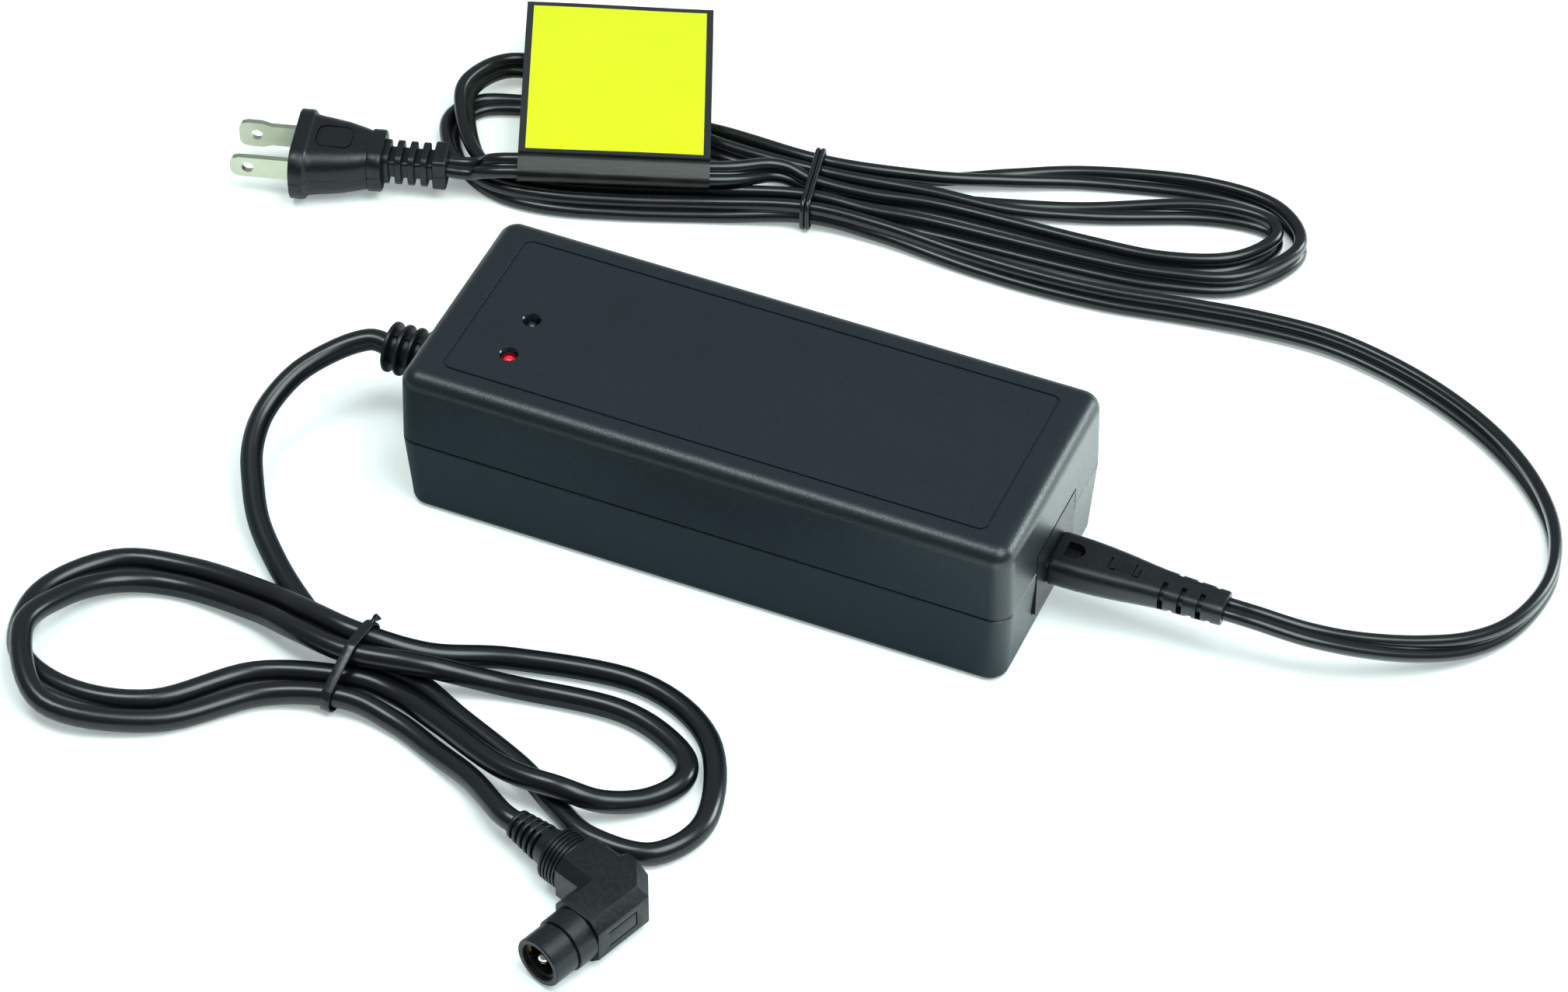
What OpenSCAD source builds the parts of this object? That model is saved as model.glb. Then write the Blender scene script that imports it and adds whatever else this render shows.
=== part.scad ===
// Battery charger for a garage: a moulded case with its electronics, a low-voltage
// lead with an elbow plug, and a mains cord that plugs into the end of the case.
// Millimetres, +Z up. The origin is under the middle of the case, on the table;
// +X runs along the case towards the mains inlet.

/* [Case] */
// Length of the case, from the output end to the inlet end
case_l = 158; // [150:1:175]
// Width of the case
case_w = 63.6; // [62:0.2:75]
// Height of the case
case_h = 43.2; // [42:0.2:52]
// Height of the line where the two shells meet
part_z = 21.9; // [20.5:0.1:23]
// Wall thickness of both shells
wall = 2.2; // [1.8:0.1:2.6]
// Radius of the four upright corners
corner_r = 4.8; // [4.4:0.1:7]
// Radius of the rounded top edges
top_r = 4.2; // [3:0.1:4.4]
// Radius of the rounded bottom edges
foot_r = 2.2; // [1.6:0.1:3]
// How far an upper wall leans in over its height
upper_lean = 0.3; // [0:0.05:1]
// How far a lower wall leans in over its height
lower_lean = 1.2; // [0.4:0.1:1.6]
// Height of the tongue that locates the upper shell
tongue_h = 1.4; // [1:0.1:2]
// Distance from the case's edge to the groove on the lid, on the long sides
groove_side = 7.2; // [6:0.1:10]
// Distance from the case's edge to the groove on the lid, at the ends
groove_end = 8.8; // [7:0.1:12]
// Width of the groove
groove_w = 0.6; // [0.4:0.1:1]
// Depth of the groove
groove_d = 0.4; // [0.2:0.1:0.8]

/* [Case screws] */
// Distance from the case's end to each screw
screw_end = 9.6; // [9:0.1:12]
// Distance from the case's long side to each screw
screw_side = 8.4; // [8:0.1:11]
// Diameter of a screw's thread
screw_d = 2.9; // [2.5:0.1:3.2]
// Diameter of a screw's head
screw_head_d = 5.4; // [5:0.1:5.8]
// Height above the table of the face that a screw head pulls on
screw_seat = 8; // [7:0.5:10]
// Depth that a screw reaches into the upper shell
screw_bite = 10; // [7:0.5:13]

/* [Indicator lamps] */
// Distance from the output end to the lamps
lamp_end = 22.2; // [19:0.1:26]
// Distance of the charging lamp in front of the middle line
lamp_front = 14.2; // [11:0.1:18]
// Distance between the two lamps
lamp_pitch = 13; // [9:0.1:18]
// Diameter of each lamp's dome
lamp_d = 3; // [2.6:0.1:3.4]
// Overall height of a lamp, from the underside of its rim to the tip of its dome
lamp_h = 5.2; // [4.6:0.1:5.6]
// Diameter of the dished hole round each lamp
dish_d = 4.6; // [4:0.1:6]

/* [Circuit board] */
// Thickness of the board
board_t = 1.6; // [1.2:0.2:2]
// Height of the posts that carry the board
post_h = 3.6; // [3:0.1:5]
// Width of the ferrite core
core_w = 34; // [30:1:38]
// Gap between the ferrite core and the lid
core_gap = 2.6; // [1:0.1:6]
// Diameter of the bulk capacitor
bulk_d = 20; // [16:1:22]
// Gap between the bulk capacitor and the lid
bulk_gap = 4.6; // [1:0.1:10]
// Diameter of each output capacitor
out_cap_d = 10; // [8:0.5:12]
// Height of each output capacitor
out_cap_h = 20; // [16:1:26]
// Number of output capacitors
out_caps = 2; // [1:1:3]
// Gap between the two heatsinks and the lid
sink_gap = 7.6; // [2:0.1:12]
// Width of the fin that is folded along the top of a heatsink
fin_w = 7; // [5:0.1:8]
// Thickness of the two heatsinks
sink_t = 2; // [1.6:0.1:3]
// Length of the two heatsinks
sink_l = 38; // [30:1:44]

/* [Mains inlet] */
// Width of the inlet's face
inlet_w = 24.4; // [22:0.1:28]
// Height of the inlet's face
inlet_h = 19.4; // [17:0.1:20]
// Height of the inlet's centre above the table
inlet_z = 17.2; // [16.8:0.1:17.8]
// Depth of the socket
socket_depth = 13.4; // [12:0.1:14]
// Distance between the two pins
pin_pitch = 8.6; // [8:0.1:9]
// Diameter of each pin
pin_d = 2.4; // [2.2:0.1:2.6]
// Length of each pin inside the socket
pin_l = 9.8; // [8:0.1:11]

/* [Mains connector] */
// Thickness of the connector's nose
nose_t = 6; // [5.6:0.1:6.8]
// Length of the moulded body behind the nose
grip_l = 27; // [24:1:36]
// Width of the body at the nose end
grip_w = 14; // [13.5:0.1:16]
// Thickness of the body at the nose end
grip_t = 8; // [7.6:0.1:9]
// Width of the body at the cord end
grip_tail_w = 10; // [9:0.1:11]
// Thickness of the body at the cord end
grip_tail_t = 6.6; // [6:0.1:7.4]
// Length of the slotted strain relief
relief_l = 16; // [12:1:20]
// Number of slots on each face of the strain relief
relief_slots = 3; // [2:1:5]
// Free play between parts that slide
slide_gap = 0.3; // [0.2:0.05:0.4]

/* [Mains cord] */
// Width of the flat twin cord
ac_w = 6.8; // [6.2:0.1:7]
// Thickness of the flat twin cord
ac_t = 3.4; // [3:0.1:3.5]

/* [Mains plug] */
// Distance between the two blades
blade_pitch = 12.7; // [12.5:0.1:12.9]
// Width of a blade
blade_w = 6.35; // [6:0.05:6.6]
// Width across the flared tip of the wider blade
blade_flare = 7.9; // [7.2:0.1:8.2]
// Thickness of a blade
blade_t = 1.5; // [1.3:0.1:1.7]
// Length of a blade outside the plug
blade_l = 16; // [14:0.5:18]
// Diameter of the hole near a blade's tip
blade_hole_d = 3.2; // [3:0.1:3.6]
// Width of the plug's front flange
flange_w = 25; // [24:0.5:27]
// Height of the plug's front flange
flange_h = 15.6; // [14.6:0.2:16]
// Thickness of the plug's front flange
flange_t = 4; // [3:0.2:5]
// Length of the plug's body between flange and collar
plug_l = 15.5; // [13:0.5:20]
// Length of the collar behind the plug's body
collar_l = 3.6; // [3:0.2:5]
// Width across the plug's strain relief
plug_relief_w = 9.4; // [9:0.1:10]
// Length of the plug's strain relief
plug_relief_l = 16.4; // [14:0.2:20]
// Number of ribs on the plug's strain relief
plug_ribs = 5; // [3:1:6]

/* [Tag] */
// Length of the tag along the cord
tag_l = 49.6; // [40:0.2:50]
// Reach of the tag away from the cord
tag_reach = 64; // [50:1:66]
// Thickness of the tag's sheet
tag_t = 0.5; // [0.4:0.1:0.8]
// Thickness of the sleeve that the tag wraps round the cord
sleeve_t = 0.5; // [0.4:0.1:0.7]

/* [Low-voltage lead] */
// Diameter of the round cable
dc_d = 5.5; // [5:0.1:5.6]
// Diameter of the rings on the case's strain relief
gland_d = 13.4; // [12:0.1:14]
// Length of the strain relief outside the case
gland_l = 16; // [14:0.5:20]
// Number of rings on the strain relief
gland_rings = 4; // [3:1:5]
// Width of a ring
ring_w = 1.9; // [1.6:0.1:2.2]
// Distance of the strain relief in front of the middle line
gland_front = 3; // [-6:0.5:8]

/* [Elbow plug] */
// Diameter of the barrel
barrel_d = 12.6; // [12.2:0.1:13.2]
// Diameter of the opening in the barrel
barrel_bore = 9.6; // [9:0.1:10.2]
// Length of the barrel from the elbow's centre to its open end
barrel_l = 26.5; // [24:0.5:30]
// Depth of the opening
bore_depth = 12; // [9:0.5:13]
// Diameter of the split centre pin
centre_pin_d = 3; // [2.5:0.1:3.2]
// How far the pin's tip stays inside the barrel's mouth
pin_recess = 0.8; // [0.4:0.1:3]
// Width and height of the elbow block
elbow_w = 13.6; // [13:0.2:15]
// Diameter of the grooved collar on the lead's side
collar_d = 13.4; // [13.2:0.2:15]
// Number of fine grooves round the collar
collar_grooves = 5; // [3:1:6]
// Number of ribs on the elbow's strain relief
elbow_ribs = 5; // [3:1:6]

/* [Hidden] */
$fn = 48;
SOFT = 32;          // facets of a full circle inside a hull
thin = 0.01;        // thickness of a slice that a hull stretches over
fit = 0.25;         // gap between moulded parts that seat in each other
eps = 0.5;          // how far a cutter runs past the face that it opens

// ---- places that several parts share ----
seam = 0.3;                                   // height of the shadow line between the shells
screw_x = case_l/2 - screw_end;
screw_y = case_w/2 - screw_side;
screw_at = [for (sx = [-1, 1], sy = [-1, 1]) [sx*screw_x, sy*screw_y]];
screw_boss_r = 3.4;
screw_post_r = 4.2;
lamp_x = -case_l/2 + lamp_end;
lamp_charge = [lamp_x, -lamp_front];
lamp_power = [lamp_x, lamp_pitch - lamp_front];
lamp_top = case_h - 1.1;                      // tip of a dome, just under the lid's surface
lamp_rim_z = lamp_top - lamp_h;               // underside of a lamp's rim
lamp_rim_t = 1;
roof = case_h - wall;                         // underside of the lid
board_z = wall + post_h;                      // underside of the circuit board
board_top = board_z + board_t;
board_l = 2*(screw_x - screw_post_r - 0.8);
board_w = case_w - 2*wall - 2*lower_lean - 2;
post_at = [for (sx = [-1, 1], sy = [-1, 1]) [sx*(board_l/2 - 8), sy*(board_w/2 - 4)]];
post_pin_r = 1.2;                             // pin on a post, through the board
end_x = case_l/2;                             // outer face of the inlet end
face_x = end_x;                               // face of the inlet, flush with the case
socket_z = inlet_z - 1.4;                     // the socket sits a little low in its face
socket_r = nose_t/2 + slide_gap;
socket_floor = face_x - socket_depth;
inlet_back = socket_floor - 2;                // rear of the inlet's housing
flange_lip = 1.5;                             // the inlet's flange behind the wall
tail_x = inlet_back - 1.2;                    // the pins' solder tails
grip_x = face_x + slide_gap;                  // front of the connector's body
relief_x = grip_x + grip_l;
cord_x = relief_x + relief_l;                 // where the mains cord leaves the connector
gland_neck = 5;                               // radius of the gland where it passes the wall
gland_end = -case_l/2 - gland_l;
gland_y = -gland_front;

// ---- places of the parts on the board ----
half_l = board_l/2;
core_lift = 2;                                // the core stands on the bobbin's base
core_h = roof - core_gap - core_lift - board_top;
bulk_h = roof - bulk_gap - board_top;
sink_h = roof - sink_gap - board_top;
transformer_at = [-half_l/4, 2];
bulk_at = [17, -12];
choke_at = [half_l - 32.4, 13];
line_cap_at = [half_l - 16.4, 0];
fuse_at = [half_l - 11.2, 19];
sink_a_at = [half_l - 54.4, board_w/2 - 5];   // the mains side's heatsink
sink_b_at = [32.4 - half_l, -board_w/2 + 5];  // the output side's heatsink
out_cap_at = [for (i = [0:out_caps - 1]) [18.9 - half_l, 16 - (out_cap_d + 1.5)*i]];
device_w = 10;                                // width of a power device's body
device_h = 15;
device_t = 4.4;
device_tab = 6;                               // height of the bare tab that the screw holds
bobbin_w = core_w - 12;                       // width of the bobbin
bobbin_d = 24;                                // depth of the bobbin
slot_w = core_w - 2;                          // length of the slot across the board
device_z = board_top + 5;

// ---- small helpers ----
function unit(v) = v/norm(v);
module four(l, w, r) for (sx = [-1, 1], sy = [-1, 1]) translate([sx*(l/2 - r), sy*(w/2 - r), 0]) children();
module rrect(l, w, r) {
    square([l - 2*r, w], center = true);
    square([l, w - 2*r], center = true);
    for (sx = [-1, 1], sy = [-1, 1]) translate([sx*(l/2 - r), sy*(w/2 - r)]) circle(r);
}
module along_x(p) translate(p) rotate([0, 90, 0]) children();   // local +Z points to +X

// ---- sections of the cords, and the sweep that makes them ----
function round_section(d, sides) =
    [for (k = [0:sides - 1]) let (a = 360*(k + 0.5)/sides) d/2*[cos(a), sin(a)]];
function flat_section(w, t) = let (s = w/2 - 0.45*t)
    [[w/2, 0], [s, t/2], [-s, t/2], [-w/2, 0], [-s, -t/2], [s, -t/2]];
function at_index(p, i) = p[min(max(i, 0), len(p) - 1)];
function between(a, b, c, d, f) = 0.5*(2*b + (c - a)*f + (2*a - 5*b + 4*c - d)*f*f
    + (3*b - a - 3*c + d)*f*f*f);
// points on the smooth curve through a list, k to a span; the last element is the roll
function smooth(p, k) = concat([for (i = [0:len(p) - 2], j = [0:k - 1])
    between(at_index(p, i - 1), p[i], p[i + 1], at_index(p, i + 2), j/k)], [p[len(p) - 1]]);
function place(q) = [q[0], q[1], q[2]];
function heading(p, i) = unit(place(at_index(p, i + 1)) - place(at_index(p, i - 1)));
function ring(p, i, section) = let (
        t = heading(p, i),
        side = unit(cross(t, [0, 0, 1])),
        up = cross(side, t),
        c = cos(p[i][3]),
        s = sin(p[i][3]))
    [for (q = section) place(p[i]) + side*(q.x*c - q.y*s) + up*(q.x*s + q.y*c)];
// One closed tube along p[a..b]. The headings come from the whole of p, so two
// stretches that share a ring meet face to face.
module sweep(p, a, b, section) {
    n = len(section);
    rings = [for (i = [a:b]) ring(p, i, section)];
    last = (b - a)*n;
    sides = [for (i = [0:b - a - 1], j = [0:n - 1]) let (m = i*n + j, q = i*n + (j + 1)%n)
        each [[m, m + n, q], [q, m + n, q + n]]];
    caps = [for (j = [1:n - 2]) each [[0, j, j + 1], [last, last + j + 1, last + j]]];
    polyhedron([for (r = rings) each r], concat(sides, caps), convexity = 10);
}

// ---- the hanks ----
// A hank runs round a closed outline turn after turn, drawn in at the waist where its
// tie is. Each row of an outline is: x and y of the middle between the two turns, how
// far the first turn lies to the left of it, the height of the first and of the second
// turn, how far each stands on edge (0 lies flat, 90 stands), and how far the second
// turn is ahead of the first. What a row leaves out is 0.
turns = 2;
function row(o, i) = o[(i + len(o))%len(o)];
function xy(r) = [r[0], r[1]];
function entry(r, i) = len(r) > i ? r[i] : 0;
function along(o, i) = unit(xy(row(o, i + 1)) - xy(row(o, i - 1)));
function hank(o, twist) = [for (t = [0:turns - 1], i = [0:len(o) - 1])
    let (r = o[i], d = along(o, i), s = t == 0 ? 1 : -1, p = xy(r) + s*r[2]*[-d.y, d.x] - s*entry(r, 7)/2*d)
    [p.x, p.y, r[3 + t], entry(r, 5 + t) - twist*(t + 1)]];

// ---- route of the low-voltage lead ----
dc_lie = dc_d/2 + 0.1;
elbow_at = [25.5, -132.5, elbow_w/2 + 0.4];
elbow_turn = -20;                             // direction of the lead as it reaches the elbow
elbow_dir = [cos(elbow_turn), sin(elbow_turn), 0];
elbow_reach = 33;                             // elbow's centre to the strain relief's end
dc_stop = elbow_at - elbow_reach*elbow_dir;
function level(p) = [p[0], p[1], p[2], 0];
dc_lead_points = [for (p = [[gland_end, gland_y, part_z], [gland_end - dc_d, gland_y, part_z],
    [-107.5, -8, 20], [-114, -17, 17.3], [-117, -28, 13.5], [-115.5, -38, 10.6], [-111, -47, 8.2],
    [-105, -56, 6], [-97, -64, 4.2], [-88.5, -71, 3.1], [-76.5, -79.5, dc_lie]]) level(p)];
dc_outline = [
    [-63.5, -89.5, 3.3, 4.2, 4.2], [-48.8, -90.1, 3.3, 3, 4.3], [-35.2, -95.9, 3.2, 2.9, 6.3],
    [-14.7, -104.6, 3.2, 2.9, 8.3], [-1, -109.1, -0.4, 2.9, 9], [9.5, -110.4, -4.6, 2.9, 5.6],
    [21.5, -106.2, -8.1, 2.9, 3.2, 0, 0, 4], [27.1, -94.4, -4.7, 2.9, 2.9, 0, 0, 9.6],
    [20, -79, -3.8, 2.9, 2.9], [0.5, -71, -5, 3, 3.1], [-28.5, -75, -4.5, 3.1, 3.3],
    [-47, -82.6, -3.75, 5.2, 8.9], [-64, -86.5, -3.1, 9.6, 9.4], [-79, -84, -3.1, 8.8, 8.4],
    [-92, -79.5, -3.1, 5.2, 5.2], [-113, -77.5, -3.2, 3, 3], [-129.5, -82.5, -4.2, 2.9, 4],
    [-139.5, -97, -4, 2.9, 7], [-138.5, -114, -0.6, 2.9, 9.2], [-123, -125.5, 4.4, 2.9, 6],
    [-100.5, -119.5, 3.4, 2.9, 3.1], [-82, -102, 3.8, 2.9, 3.1]];
dc_tail_points = [for (p = [[-61.2, -99.2, 4.4], [-47, -100.3, 3], [-34, -105.2, 3], [-22, -111, 4.8],
    dc_stop - dc_d*elbow_dir, dc_stop]) level(p)];
dc_rings = 2;                                 // rings for each row of the outline
dc_bundle = smooth(concat(hank(dc_outline, 0), [dc_tail_points[0]]), dc_rings);
dc_path = concat(dc_lead_points, dc_bundle, part_of(dc_tail_points, 1));
dc_a = len(dc_lead_points);
dc_b = dc_a + len(dc_bundle) - 1;
dc_end = len(dc_path) - 1;
function part_of(p, a) = [for (i = [a:len(p) - 1]) p[i]];

// ---- route of the mains cord ----
stand = ac_w/2 + 0.1;                         // centre height of the cord standing on edge
lie = ac_t/2 + 0.1;                           // centre height of the cord lying flat
ac_lead_points = [[cord_x, 0, socket_z, 0], [cord_x + ac_w, 0, socket_z, 0], [142, 2, 13.4, -5],
    [154, 7, 10, -15], [166, 14, 6.9, -35], [176, 22, 4.8, -60], [183, 32, 3.8, -80], [186.5, 45, stand, -90],
    [186, 57, stand, -90], [181, 70, stand, -95], [171, 82.5, stand, -110], [158, 93, 3.3, -125],
    [143, 101, 3.2, -135], [127, 106.5, 3.2, -135], [110, 109.5, 3.2, -135], [92, 108.8, 3.2, -135],
    [73, 106, 3.2, -130], [54, 102.5, 3.3, -125], [35, 101, 3.3, -120], [15, 101, stand, -110], [-8, 102, 4.3, -95]];
ac_outline = [
    [-28.8, 102.2, 2.3, 5.2, 5.2, 90, 90], [-52, 95.4, 2.4, 3.3, 3.3, 60, 60], [-74, 87, 2.5, 3.3, 3.3, 60, 60],
    [-92, 81.2, 2.4, 3.5, 3.5, 70, 70], [-106, 80.4, 2.4, 3.5, 3.5, 100, 100], [-117, 86, 2.5, 3.3, 4.4, 120, 115],
    [-124.8, 97, 1.9, 2.9, 6.2, 135, 125], [-125.2, 107, -1.2, 2.35, 8.4, 165, 120],
    [-118, 116.5, -5.5, 1.9, 6.2, 180, 115], [-103, 119.5, -5, 1.9, 5.1, 180, 140],
    [-84, 118.5, 0, 1.95, 6.1, 180, 175], [-61, 117, 2.7, 3.1, 4.2, 135, 130], [-31.2, 116.1, 2, 5.2, 5.2, 90, 90],
    [-4, 123.5, 3.2, 3.4, 3.4, 55, 70], [16, 130.5, 5.6, 2.7, 2.4, 15, 20], [36, 138.5, 6.5, 2.4, 2, -20, 0],
    [63, 147, 4.4, 3, 3, -55, -50], [81.5, 147, 2.8, 3.5, 3.5, -80, -80], [89, 138, 3.4, 3.5, 3.5, -95, -95],
    [80.5, 124, 3.6, 3.4, 3.4, -110, -110], [63, 117.3, 3, 3.2, 3.2, -125, -125], [43, 114.8, 3.2, 3.1, 3.1, -130, -130],
    [4, 112.6, 3.4, 3.1, 3.1, -130, -130], [-14, 109.8, 3, 3.4, 3.4, -105, -105]];
plug_turn = 16;
plug_dir = [cos(plug_turn), sin(plug_turn), 0];
plug_at = [-155.5, 65, flange_h/2 + 0.9];     // middle of the plug's face
plug_back = flange_t + plug_l + collar_l + plug_relief_l;
plug_rear = plug_at + plug_back*plug_dir;
sleeve_a = [-54, 98.6, 10.1];                 // the sleeve on the cord, from and to
sleeve_b = [-99.5, 79.5, 12.4];
sleeve_roll = 35;
waist_roll = -450;
plug_roll = -540;
ac_tail_points = [[-30, 110.2, 5.2, waist_roll], [-40, 108.8, 8, waist_roll - 12],
    concat(sleeve_a, [plug_roll + sleeve_roll]), concat(sleeve_b, [plug_roll + sleeve_roll]),
    concat(plug_rear + ac_w*plug_dir, [plug_roll + 10]), concat(plug_rear, [plug_roll])];
ac_rings = 2;
ac_bundle = smooth(concat(hank(ac_outline, 180), [ac_tail_points[0]]), ac_rings);
ac_path = concat(ac_lead_points, ac_bundle, part_of(ac_tail_points, 1));
ac_a = len(ac_lead_points);
ac_b = ac_a + len(ac_bundle) - 1;
ac_end = len(ac_path) - 1;
ac_section = flat_section(ac_w, ac_t);

// ---- least gap of each hank to itself, measured between its cores ----
function to_span(p, a, b) = let (d = b - a, f = min(max((p - a)*d/(d*d), 0), 1)) norm(p - a - f*d);
function core(p, i, out) = let (t = heading(p, i), side = unit(cross(t, [0, 0, 1])), up = cross(side, t))
    place(p[i]) + out*(side*cos(p[i][3]) + up*sin(p[i][3]));
function least_gap(p, a, b, outs, thick, skip) =
    let (lines = [for (o = outs) [for (i = [a:b]) core(p, i, o)]])
    min([for (m = lines, n = lines, i = [0:b - a], j = [i + skip:1:b - a - 1])
        to_span(m[i], n[j], n[j + 1])]) - thick;
echo(dc_hank_least_gap = least_gap(dc_path, dc_a, dc_b, [0], dc_d, 8));
echo(ac_hank_least_gap = least_gap(ac_path, ac_a, ac_b, [-1, 1]*(ac_w - ac_t)/2, ac_t, 8));

// ================= case =================
// post with a rounded top edge; four of them make the corners of a shell
module edge_post(r, edge) rotate_extrude($fn = SOFT) polygon(concat([[0, -thin], [r, -thin]],
    [for (a = [0:15:90]) [r - edge + edge*cos(a), edge*sin(a)]], [[0, edge]]));
// block that leans in by `lean` from its seam face at z = 0 to its rounded face at z = h
module shell_block(l, w, r, h, lean, edge) hull() {
    four(l, w, r) cylinder(r = r, h = thin, $fn = SOFT);
    four(l - 2*lean, w - 2*lean, r) translate([0, 0, h - edge]) edge_post(r, edge);
}
module inlet_window() translate([end_x - wall - lower_lean - eps, -inlet_w/2 - fit, inlet_z - inlet_h/2 - fit])
    cube([wall + lower_lean + 2*eps, inlet_w + 2*fit, inlet_h + 2*fit]);
module gland_hole() along_x([-case_l/2 - eps, gland_y, part_z]) cylinder(r = gland_neck + 0.1, h = wall + 2*eps);
module lamp_hole(p) {
    translate([p.x, p.y, roof - 5]) cylinder(d = lamp_d + 0.2, h = wall + 6);
    translate([p.x, p.y, case_h - 0.9]) cylinder(d1 = lamp_d + 0.2, d2 = dish_d + 0.2, h = 1);
}
module upper_case() color("#2b3036") difference() {
    union() {
        difference() {
            translate([0, 0, part_z + seam])
                shell_block(case_l, case_w, corner_r, case_h - part_z - seam, upper_lean, top_r);
            translate([0, 0, part_z - thin])
                shell_block(case_l - 2*wall, case_w - 2*wall, corner_r - wall, roof - part_z, upper_lean, top_r - wall);
        }
        // tongue that drops inside the lower shell's rim
        translate([0, 0, part_z - tongue_h]) linear_extrude(tongue_h + seam + 1) difference() {
            rrect(case_l - wall - 2*fit, case_w - wall - 2*fit, corner_r - wall/2);
            rrect(case_l - 2*wall, case_w - 2*wall, corner_r - wall);
        }
        for (p = screw_at) translate([p.x, p.y, part_z]) cylinder(r = screw_boss_r, h = roof - part_z + 1);
        for (p = [lamp_charge, lamp_power]) translate([p.x, p.y, lamp_rim_z + lamp_rim_t])
            cylinder(d = lamp_d + 3.4, h = roof - lamp_rim_z - lamp_rim_t + 1);
    }
    for (p = screw_at) translate([p.x, p.y, part_z - eps]) cylinder(d = screw_d + 0.1, h = screw_bite + 1 + eps);
    for (p = [lamp_charge, lamp_power]) lamp_hole(p);
    translate([0, 0, case_h - groove_d]) linear_extrude(groove_d + eps) difference() {
        rrect(case_l - 2*groove_end, case_w - 2*groove_side, 2.4);
        rrect(case_l - 2*groove_end - 2*groove_w, case_w - 2*groove_side - 2*groove_w, 1.8);
    }
    inlet_window();
    gland_hole();
}
module lower_case() color("#2b3036") difference() {
    union() {
        difference() {
            translate([0, 0, part_z]) mirror([0, 0, 1])
                shell_block(case_l, case_w, corner_r, part_z, lower_lean, foot_r);
            translate([0, 0, part_z + thin]) mirror([0, 0, 1])
                shell_block(case_l - 2*wall, case_w - 2*wall, corner_r - wall, part_z - wall, lower_lean, 0.6);
        }
        for (p = screw_at) translate([p.x, p.y, wall/2]) cylinder(r = screw_post_r, h = part_z - wall/2);
        for (p = post_at) translate([p.x, p.y, wall/2]) {
            cylinder(r = 2.6, h = board_z - wall/2);
            cylinder(r = post_pin_r, h = board_top + 1 - wall/2);
        }
    }
    // rim that takes the upper shell's tongue
    translate([0, 0, part_z - tongue_h - fit]) linear_extrude(tongue_h + fit + eps)
        difference() {
            rrect(case_l - wall, case_w - wall, corner_r - wall/2);
            rrect(case_l - 2*wall - 0.8, case_w - 2*wall - 0.8, corner_r - wall);
        }
    for (p = screw_at) translate([p.x, p.y, -eps]) {
        cylinder(d = screw_head_d + 0.6, h = screw_seat + eps);
        cylinder(d = screw_d + 0.5, h = part_z + 2*eps);
    }
    inlet_window();
    gland_hole();
}
module case_screws() color("#8d8f92") for (p = screw_at) translate([p.x, p.y, screw_seat]) difference() {
    union() {
        cylinder(d = screw_d, h = part_z - screw_seat + screw_bite - 1);
        translate([0, 0, part_z - screw_seat + screw_bite - 1]) cylinder(d1 = screw_d, d2 = 0.8, h = 1.4);
        translate([0, 0, -1.2]) cylinder(d = screw_head_d, h = 1.2);
        translate([0, 0, -2.2]) cylinder(d1 = screw_head_d - 1.6, d2 = screw_head_d, h = 1);
    }
    for (a = [0, 90]) rotate([0, 0, a]) translate([-1.5, -0.35, -2.3]) cube([3, 0.7, 1.5]);
}

// ================= electronics =================
module circuit_board() color("#8a6a35") difference() {
    translate([-board_l/2, -board_w/2, board_z]) cube([board_l, board_w, board_t]);
    for (p = post_at) translate([p.x, p.y, board_z - eps]) cylinder(r = post_pin_r + 0.1, h = board_t + 2*eps);
    // slot that keeps the mains side apart from the output side
    translate([transformer_at.x - slot_w/2, transformer_at.y - 1, board_z - eps]) cube([slot_w, 2, board_t + 2*eps]);
}
lamp_board_x = lamp_x - 1.9;                  // the lamps' leads lie against this board
module lamp_board() color("#8a6a35")
    translate([lamp_board_x, lamp_charge.y - 4, board_top]) cube([1.6, lamp_pitch + 8, lamp_rim_z - 1.5 - board_top]);
module lamp(p) translate([p.x, p.y, lamp_rim_z]) {
    cylinder(d = lamp_d + 0.8, h = lamp_rim_t);
    cylinder(d = lamp_d, h = lamp_h - lamp_d/2);
    translate([0, 0, lamp_h - lamp_d/2]) sphere(d = lamp_d);
    for (s = [-1, 1]) translate([-0.3, s*0.9 - 0.25, -8]) cube([0.5, 0.5, 8 + thin]);
}
module charge_lamp() color("#ff2a3c") lamp(lamp_charge);
module power_lamp() color("#c8d0cc") lamp(lamp_power);
module figure_eight(r, pitch) {
    for (s = [-1, 1]) translate([0, s*pitch/2]) circle(r);
    square([2*r, pitch], center = true);
}
module inlet_housing() color("#1d2023") difference() {
    union() {
        translate([end_x - wall - flange_lip, -inlet_w/2, inlet_z - inlet_h/2])
            cube([face_x - end_x + wall + flange_lip, inlet_w, inlet_h]);
        // flange that bears on the inside of the wall
        translate([end_x - wall - lower_lean - flange_lip, -inlet_w/2 - 1.4, inlet_z - inlet_h/2 + 1])
            cube([flange_lip, inlet_w + 2.8, inlet_h - 1]);
        translate([inlet_back, -inlet_w/2 + 2, board_top]) cube([end_x - wall - lower_lean - inlet_back, inlet_w - 4, 17]);
    }
    along_x([socket_floor, 0, socket_z]) linear_extrude(socket_depth + eps)
        rotate(0) figure_eight(socket_r, pin_pitch);
    for (s = [-1, 1]) along_x([inlet_back - eps, s*pin_pitch/2, socket_z]) cylinder(d = pin_d, h = 4);
}
module inlet_pins() color("#c9ccc8") for (s = [-1, 1]) {
    along_x([inlet_back, s*pin_pitch/2, socket_z]) cylinder(d = pin_d, h = socket_floor - inlet_back + pin_l - pin_d/2);
    translate([socket_floor + pin_l - pin_d/2, s*pin_pitch/2, socket_z]) sphere(d = pin_d);
    translate([inlet_back - 1, s*pin_pitch/2 - 1.2, board_top]) cube([1, 2.4, socket_z - board_top + 1.2]);
}
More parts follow.
